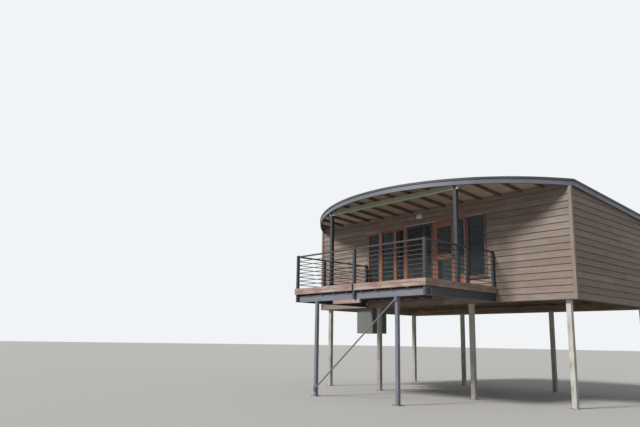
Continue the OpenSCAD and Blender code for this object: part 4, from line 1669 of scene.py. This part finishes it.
@dataclass(frozen=True)
class Openings(Assembly):
    """All the windows, the doorway's frame, the screens, the sills and the flashings.

    Attributes:
        cedar: finishes of the cedar joinery.
        brown: finishes of the purple-brown joinery.
        slim: width of the slim frames' members.
        screen_bar: middle of the dark window's bar along X.
    """

    cedar: tuple[Finish, Finish] = CEDAR.joinery()
    brown: tuple[Finish, Finish] = BROWN_JOINERY.joinery()
    slim: float = 0.050
    screen_bar: float = 0.012

    def build(self) -> None:
        """Builds every opening's joinery and glass."""
        Joinery("glazed_wall_joinery", "glazed_wall_frame", jamb=0.07, last_jamb=0.13, rail=0.07,
                bars=((-1.84, 0.15), (-1.195, 0.11)), finishes=self.cedar).build()
        Joinery("screen_window_joinery", "screen_window_frame", jamb=self.slim, last_jamb=self.slim,
                rail=self.slim, bars=((self.screen_bar, self.slim),),
                finishes=(SCREEN_FRAME, SCREEN_FRAME)).build()
        Joinery("tall_window_joinery", "tall_window_frame", jamb=0.11, last_jamb=0.11, rail=0.07, bars=(),
                finishes=self.brown).build()
        self.back_windows()
        self.door_surround()
        self.screens()
        self.sills()
        self.frame.finish_node("window_glass", GLASS)
        self.frame.ease_node("head_flashings", FLASHING, 0.0015)

    def back_windows(self) -> None:
        """Builds the two windows at the back, each with one bar in its middle."""
        name, node = "back_window_joinery", "back_window_frames"
        low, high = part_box(node)
        sill_out, sill_h = 0.040, 0.030
        bench = Bench(61)
        for left in (low.x, high.x - self.frame.back_window_w):
            right = left + self.frame.back_window_w
            bars = (((left + right) / 2, self.slim),)
            window = Joinery(name, node, self.slim, self.slim, self.slim, bars, self.brown)
            window.members(bench, (left, right), (low.y, high.y), (low.z, high.z))
            bench.block((left - 0.03, high.y - 0.02, low.z - sill_h),
                        (right + 0.03, high.y + sill_out, low.z + 0.002), 0.004, 1)
        bench.deliver(name, self.brown, replaces=[node])

    def door_surround(self) -> None:
        """Builds the doorway's jambs and head, the sidelight and the panel under it."""
        low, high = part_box("door_frame")
        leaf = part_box("door_leaf")
        gap, jamb, post, kick, stop = 0.006, 0.040, 0.060, 0.430, 0.012
        front, back = low.y, high.y
        door_end = leaf[1].x + gap
        light = (door_end + post, high.x - self.slim)
        panel_top = low.z + kick
        head = high.z - self.slim
        bench = Bench(62)
        jambs = ((low.x, low.x + jamb, high.z), (door_end, light[0], head), (light[1], high.x, head))
        for left, right, top in jambs:
            bench.block((left, front, low.z), (right, back, top), 0.003)
        for left, right, foot in ((low.x + jamb, door_end, high.z - jamb), (door_end, high.x, head)):
            bench.block((left, front, foot), (right, back, high.z), 0.003, 1)
        self.kick_panel(bench, light, (front, back), (low.z, panel_top))
        Beads().set(bench, light, (front, back), (panel_top, head))
        stop_y = leaf[1].y + gap
        for x in (low.x + jamb, door_end - stop):
            bench.block((x, stop_y, low.z), (x + stop, stop_y + stop, high.z - jamb), 0.002)
        bench.deliver("door_surround", self.cedar, replaces=["door_frame"])

    def kick_panel(self, bench: Bench, light: Span, depth: Span, heights: Span) -> None:
        """Adds the boarded panel under the sidelight, between its two rails.

        Args:
            bench: the mesh that takes it.
            light: ends of the panel along X.
            depth: front and back of the frame.
            heights: lower and upper edge.
        """
        rail, boards = 0.055, 3
        foot, top = heights[0] + rail, heights[1] - rail
        for z in (heights[0], top):
            bench.block((light[0], depth[0] + 0.001, z), (light[1], depth[1], z + rail), 0.003, 1)
        pitch = (light[1] - light[0]) / boards
        for left in (light[0] + i * pitch for i in range(boards)):
            bench.block((left, depth[0] + 0.02, foot), (left + pitch - 0.0005, depth[1] - 0.01, top), 0.003)

    def screens(self) -> None:
        """Builds two framed insect screens over the dark window's panes."""
        low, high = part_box("screen_window_frame")
        front, back = low.y + 0.012, low.y + 0.024
        foot, head = low.z + self.slim, high.z - self.slim
        width, cloth_y, cloth_t = 0.022, front + 0.005, 0.0012
        bar = (self.screen_bar - self.slim / 2, self.screen_bar + self.slim / 2)
        frames, mesh = Bench(63), Bench(64)
        for left, right in ((low.x + self.slim, bar[0]), (bar[1], high.x - self.slim)):
            for x in (left, right - width):
                frames.block((x, front, foot), (x + width, back, head), 0.002)
            for z in (foot, head - width, (foot + head) / 2):
                frames.block((left + width, front, z), (right - width, back, z + width), 0.002)
            mesh.block((left + width, cloth_y, foot + width), (right - width, cloth_y + cloth_t, head - width),
                       0.0)
        frames.deliver("screen_frames", [SCREEN_FRAME])
        mesh.deliver("screen_mesh", [MESH])

    def sills(self) -> None:
        """Builds the sloping sills that stand out under the tall window and the glazed wall."""
        sills = (("tall_window_frame", 0.045, 0.02, 1), ("glazed_wall_frame", 0.02, 0.0, 0))
        below, above, inwards, slope = 0.025, 0.006, 0.030, 0.012
        bench = Bench(65)
        for node, out, horn, slot in sills:
            low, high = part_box(node)
            front = low.y - 0.01
            verts = bench.block((low.x - horn, front - out, low.z - below),
                                (high.x + horn, low.y + inwards, low.z + above), 0.003, slot)
            for vert in verts:
                if vert.co.z > low.z - below / 2 and vert.co.y < front:
                    vert.co.z -= slope
        bench.deliver("window_sills", [self.cedar[1], self.brown[1]])


@dataclass(frozen=True)
class Door(Assembly):
    """The hinged door: leaf, beads, glass, lever and hinges.

    Attributes:
        stile: width of its stiles.
        top_rail: height of its top rail.
        lock_rail: height of its lock rail.
        bottom_rail: height of its bottom rail.
        lock_rail_z: height of the lock rail above the leaf's foot.
        rose_r: radius of the lever's rose.
        key_r: radius of the key plate.
        key_drop: depth of the key plate below the lever.
        grip: half the height of the lever.
        knuckle_r: radius of a hinge.
        hinge_h: height of a hinge.
        knuckles: knuckles of a hinge.
    """

    stile: float = 0.130
    top_rail: float = 0.130
    lock_rail: float = 0.150
    bottom_rail: float = 0.200
    lock_rail_z: float = 0.930
    rose_r: float = 0.026
    key_r: float = 0.020
    key_drop: float = 0.075
    grip: float = 0.0095
    knuckle_r: float = 0.008
    hinge_h: float = 0.100
    knuckles: int = 5

    def build(self) -> None:
        """Builds the leaf and what it carries."""
        self.leaf()
        self.lever()
        self.hinges()
        self.frame.finish_node("door_glass", GLASS)

    def leaf(self) -> None:
        """Builds the stiles, rails, beads and drip moulding of the leaf."""
        low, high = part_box("door_leaf")
        inner = (low.x + self.stile, high.x - self.stile)
        lock = low.z + self.lock_rail_z
        rails = [(low.z, low.z + self.bottom_rail), (lock, lock + self.lock_rail),
                 (high.z - self.top_rail, high.z)]
        bench = Bench(71)
        for left, right in ((low.x, inner[0]), (inner[1], high.x)):
            bench.block((left, low.y, low.z), (right, high.y, high.z), 0.003)
        for foot, head in rails:
            bench.block((inner[0], low.y + 0.0015, foot), (inner[1], high.y - 0.0015, head), 0.003, 1)
        for below, above in zip(rails, rails[1:]):
            Beads().set(bench, inner, (low.y, high.y), (below[1], above[0]))
        inset, out, foot, head, slope = 0.010, 0.022, low.z + 0.012, low.z + 0.050, 0.018
        drip = bench.block((low.x + inset, low.y - out, foot), (high.x - inset, low.y + 0.004, head), 0.003, 1)
        for vert in drip:
            if vert.co.y < low.y - out / 2 and vert.co.z > (foot + head) / 2:
                vert.co.z -= slope
        bench.deliver("door_joinery", CEDAR.joinery(), "door", ["door_leaf"])

    def lever(self) -> None:
        """Builds the lever handle, its rose and the key plate below it."""
        low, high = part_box("door_handle")
        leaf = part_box("door_leaf")
        spindle = Vector((leaf[1].x - self.stile / 2, leaf[0].y, (low.z + high.z) / 2))
        lever_y = low.y + 0.007
        half_t, droop, return_share, return_in = 0.006, 0.004, 0.75, 0.010
        bench = Bench(72)
        bench.rod(spindle, spindle + Vector((0, -0.008, 0)), self.rose_r, 40, 0.0025)
        neck = Vector((spindle.x, lever_y - 0.001, spindle.z))
        bench.rod(spindle + Vector((0, -0.006, 0)), neck, self.grip, 24, 0.001)
        grip = bench.block((low.x, lever_y - half_t, spindle.z - self.grip),
                           (spindle.x + self.grip, lever_y + half_t, spindle.z + self.grip), 0.0045)
        for vert in grip:
            share = (spindle.x - vert.co.x) / (spindle.x - low.x)
            vert.co.z -= droop * share * share
            vert.co.y += return_in * max(0.0, share - return_share)
        key = spindle - Vector((0, 0, self.key_drop))
        bench.rod(key, key + Vector((0, -0.006, 0)), self.key_r, 32, 0.002)
        bench.rod(key + Vector((0, -0.005, 0)), key + Vector((0, -0.010, 0)), 0.008, 20, 0.001)
        bench.deliver("door_lever", [SCREEN_FRAME], "door", ["door_handle"])

    def hinges(self) -> None:
        """Builds three hinges with their knuckles, flaps and screws."""
        low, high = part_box("door_hinges")
        face_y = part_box("door_leaf")[0].y
        axis = low + Vector((self.knuckle_r, self.knuckle_r, 0.0))
        half, pitch = self.hinge_h / 2, self.hinge_h / self.knuckles
        flap_t, slack, screw_x, screw_rise = 0.003, 0.0004, 0.028, 0.033
        bench = Bench(73)
        for middle in (low.z + half, (low.z + high.z) / 2, high.z - half):
            for foot in (middle - half + i * pitch for i in range(self.knuckles)):
                start, end = ((axis.x, axis.y, z) for z in (foot + slack, foot + pitch - slack))
                bench.rod(start, end, self.knuckle_r, 24, 0.0008)
            bench.block((axis.x, face_y - flap_t, middle - half), (high.x, face_y, middle + half), 0.0008)
            for rise in (-screw_rise, 0.0, screw_rise):
                place = Vector((axis.x + screw_x, face_y - flap_t, middle + rise))
                bench.rod(place, place + Vector((0, -0.0012, 0)), 0.0045, 16, 0.0005)
        bench.deliver("door_hinge_set", [SCREWS], "door", ["door_hinges"])


@dataclass(frozen=True)
class Balustrade(Assembly):
    """Posts, rails and rods round the deck, with their caps, plates and ferrules.

    Attributes:
        left_middle: distance of the left side's middle post behind the corner post.
        right_middle: distance of the right side's middle post behind the corner post.
        plate_half: half the depth of a side post's plate.
        plate_out: how far a plate reaches from a post's middle over the deck.
        plate_t: thickness of a plate.
        cap_inset: how far a cap lies inside its post.
        cap_t: thickness of a cap.
        collar_r: radius of a ferrule.
        collar_l: length of a ferrule.
    """

    left_middle: float = 1.090
    right_middle: float = 1.790
    plate_half: float = 0.055
    plate_out: float = 0.045
    plate_t: float = 0.008
    cap_inset: float = 0.004
    cap_t: float = 0.006
    collar_r: float = 0.014
    collar_l: float = 0.014

    def build(self) -> None:
        """Builds the balustrade."""
        self.frame.ease_node("balustrade_posts", DARK_STEEL, 0.002)
        self.frame.ease_node("balustrade_rails", DARK_STEEL, 0.004)
        self.frame.finish_node("front_rods", ROD_STEEL)
        self.frame.finish_node("side_rods", DARK_STEEL)
        self.caps_and_plates()
        self.ferrules("front_rods", "front_ferrules", Grain.ALONG_X, ROD_STEEL)
        self.ferrules("side_rods", "side_ferrules", Grain.ALONG_Y, DARK_STEEL)

    def caps_and_plates(self) -> None:
        """Closes the three front posts with caps and sets the side posts on plates."""
        low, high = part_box("balustrade_posts")
        half, inset, floor_z = self.frame.post_side / 2, self.cap_inset, self.frame.floor_z
        bench = Bench(81)
        for (left, right), (front, back) in self.frame.front_posts():
            bench.block((left + inset, front + inset, high.z - self.cap_t),
                        (right - inset, back - inset, high.z), 0.0015)
        for x, middle_back in ((low.x + half, self.left_middle), (high.x - half, self.right_middle)):
            left, right = (x - self.plate_out, x + half) if x > 0 else (x - half, x + self.plate_out)
            for y in (low.y + half + middle_back, high.y - half):
                back = min(y + self.plate_half, high.y)
                bench.block((left, y - self.plate_half, floor_z), (right, back, floor_z + self.plate_t),
                            0.0015)
        bench.deliver("post_caps_and_plates", [DARK_STEEL])

    def ferrules(self, node: str, name: str, run: Grain, finish: Finish) -> None:
        """Adds a collar at both ends of every rod.

        Args:
            node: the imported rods.
            name: name of the piece.
            run: direction in which the rods run.
            finish: finish of the collars.
        """
        axis = run.value
        rods, collars = Bench(), Bench()
        rods.node_copy(self.frame.nodes[node].data)
        for rod in rods.islands():
            middle = sum((vert.co for vert in rod), Vector()) / len(rod)
            for pick, inwards in ((min, self.collar_l), (max, -self.collar_l)):
                end = middle.copy()
                end[axis] = pick(vert.co[axis] for vert in rod)
                end = Vector(round(value, 5) for value in end)
                inner = end.copy()
                inner[axis] += inwards
                collars.rod(end, inner, self.collar_r, 14, 0.0015)
        rods.bm.free()
        collars.deliver(name, [finish])


@dataclass(frozen=True)
class WallLight(Assembly):
    """The oval light over the dark window.

    Attributes:
        base_d: depth of the base.
        cover_in: how much smaller the cover is than the base.
        crown: inset of the cover's flat crown.
    """

    base_d: float = 0.022
    cover_in: float = 0.026
    crown: float = 0.055

    def build(self) -> None:
        """Builds the base and the domed cover in place of the plain solid."""
        low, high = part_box("wall_light")
        width, height, depth = high.x - low.x, high.z - low.z, high.y - low.y
        centre = Vector(((low.x + high.x) / 2, high.y, (low.z + high.z) / 2))
        bench = Bench()
        self.dome(bench, centre, (width, height), self.base_d, ((0.0, 0.0), (0.8, 0.0), (1.0, 0.004)), 1)
        arc = [share * math.pi / 2 for share in (0.0, 0.3, 0.5, 0.7, 0.85, 1.0)]
        rings = [(math.sin(angle), self.crown * (1 - math.cos(angle))) for angle in arc]
        cover = (width - self.cover_in, height - self.cover_in)
        self.dome(bench, centre - Vector((0, self.base_d, 0)), cover, depth - self.base_d, rings, 0)
        bench.deliver("domed_wall_light", [COVER, FLASHING], replaces=["wall_light"])

    @staticmethod
    def dome(bench: Bench, centre: Vector, size: Span, depth: float, rings: Sequence[Span], slot: int) -> None:
        """Adds a round-ended form that narrows as it stands out of the wall.

        Args:
            bench: the mesh that takes it.
            centre: centre of its back.
            size: its width and height.
            depth: how far it stands out.
            rings: share of the depth and inset of each ring.
            slot: material slot of its faces.
        """
        width, height = size
        verts = bmesh.ops.create_circle(bench.bm, cap_ends=True, segments=48, radius=height / 2,
                                        matrix=Matrix.Rotation(math.pi / 2, 4, "X"))["verts"]
        stretch = (width - height) / 2
        for vert in verts:
            if abs(vert.co.x) > 0.0001:
                vert.co.x += math.copysign(stretch, vert.co.x)
        bmesh.ops.translate(bench.bm, verts=verts, vec=centre)
        faces = [verts[0].link_faces[0]]
        for (share, inset), (before, before_inset) in zip(rings[1:], rings):
            grown = bmesh.ops.extrude_face_region(bench.bm, geom=[faces[-1]])["geom"]
            ring = [item for item in grown if isinstance(item, Vert)]
            faces.append(next(item for item in grown if isinstance(item, bmesh.types.BMFace)))
            step_in = 2 * (inset - before_inset)
            for vert in ring:
                vert.co.y -= (share - before) * depth
                vert.co.x -= step_in * (vert.co.x - centre.x) / width
                vert.co.z -= step_in * (vert.co.z - centre.z) / height
            verts = [*verts, *ring]
        bmesh.ops.delete(bench.bm, geom=faces[1:-1], context="FACES_ONLY")
        for face in faces_round(verts):
            face.smooth = len(face.verts) == 4
        bench.mark(verts, slot, 0.0)


@dataclass(frozen=True)
class Inside(Assembly):
    """The floorboards inside the house.

    Attributes:
        board_w: width of a floorboard.
        gap: gap between two floorboards.
    """

    board_w: float = 0.130
    gap: float = 0.0004

    def build(self) -> None:
        """Lays the floorboards along X, each row with one butt joint."""
        low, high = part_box("house_floor")
        bench = Bench(95)
        y = low.y
        while y < high.y - 0.01:
            back = min(y + self.board_w, high.y)
            cut = bench.dice.uniform(low.x + 1.0, high.x - 1.0)
            for left, right in ((low.x, cut), (cut + self.gap, high.x)):
                bench.block((left, y, low.z), (right, back - self.gap, high.z), 0.0015)
            y = back
        bench.deliver("floorboards", [DECKING], replaces=["house_floor"])


@dataclass(frozen=True)
class Studio:
    """Camera at the photograph's place, plain light and a pale floor.

    Attributes:
        eye: place of the camera.
        yaw: turn to the left of +Y, in degrees.
        pitch: tilt upwards in degrees.
        roll: turn of the picture in degrees.
        lens: focal length in millimetres on the sensor.
        sensor: width of the sensor in millimetres.
        shift: vertical shift that the photograph's framing needs.
        sky: colour of the world.
        ambient: strength of the world on the house.
        sun: strength of the key light.
        sun_angle: breadth of the key light in degrees.
        sun_way: direction in which the key light shines.
        floor_half: half the side of the floor.
    """

    eye: tuple[float, float, float] = (11.4545, -15.6475, 1.514)
    yaw: float = 48.515
    pitch: float = 10.537
    roll: float = 0.928
    lens: float = 33.10
    sensor: float = 36.0
    shift: float = 0.030
    sky: Colour = (0.93, 0.95, 0.97)
    ambient: float = 0.22
    sun: float = 3.05
    sun_angle: float = 14.0
    sun_way: tuple[float, float, float] = (0.25, 1.0, -0.78)
    floor_half: float = 240.0

    def build(self) -> None:
        """Builds the studio."""
        self.camera()
        self.key_light()
        self.world()
        self.floor()
        bpy.context.scene.view_settings.view_transform = "Standard"

    def camera(self) -> None:
        """Sets up the camera from its place and its three angles."""
        turns = ((self.yaw, "Z"), (90.0 + self.pitch, "X"), (self.roll, "Z"))
        yaw, pitch, roll = (Matrix.Rotation(math.radians(angle), 4, axis) for angle, axis in turns)
        data = bpy.data.cameras.new("camera")
        data.lens = self.lens
        data.sensor_width = self.sensor
        data.sensor_fit = "HORIZONTAL"
        data.shift_y = self.shift
        data.clip_end = 500.0
        camera = add_object("camera", data)
        camera.matrix_world = Matrix.Translation(self.eye) @ yaw @ pitch @ roll
        bpy.context.scene.camera = camera

    def key_light(self) -> None:
        """Sets a broad key light from the front left."""
        data = bpy.data.lights.new("key", "SUN")
        data.energy = self.sun
        data.angle = math.radians(self.sun_angle)
        data.color = (1.0, 0.97, 0.93)
        add_object("key", data).rotation_euler = Vector(self.sun_way).to_track_quat("-Z", "Y").to_euler()

    def world(self) -> None:
        """Sets an even world, which the camera and reflections see almost white."""
        world = bpy.data.worlds.new("world")
        bpy.context.scene.world = world
        world.use_nodes = True
        tree = Tree(world.node_tree)
        surface = world.node_tree.nodes["Background"].inputs
        seen, mirrored, through = (tree.node("ShaderNodeLightPath", output=f"Is {ray} Ray")
                                   for ray in ("Camera", "Glossy", "Transmission"))
        tree.link(self.sky, surface["Color"])
        tree.link(self.ambient + (seen + mirrored + through) * 0.73, surface["Strength"])

    def floor(self) -> None:
        """Lays the pale floor, wide enough to meet the horizon."""
        bench = Bench()
        bmesh.ops.create_grid(bench.bm, x_segments=1, y_segments=1, size=self.floor_half)
        floor = add_object("studio_floor", bench.mesh("studio_floor", [FLOOR]))
        floor.location.z = -0.001


def main() -> None:
    """Loads the frame, builds every sub-assembly in order and reports each piece."""
    logging.basicConfig(level=logging.INFO, format="%(name)s: %(message)s")
    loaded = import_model()
    frame = Frame(loaded["nodes"])
    Studio().build()
    for assembly in (Stilts, Deck, Inside, Walls, Openings, Door, RoofWork, Balustrade, WallLight):
        LOG.info("builds %s", assembly.__name__)
        assembly(frame).build()


if __name__ == "__main__":
    main()
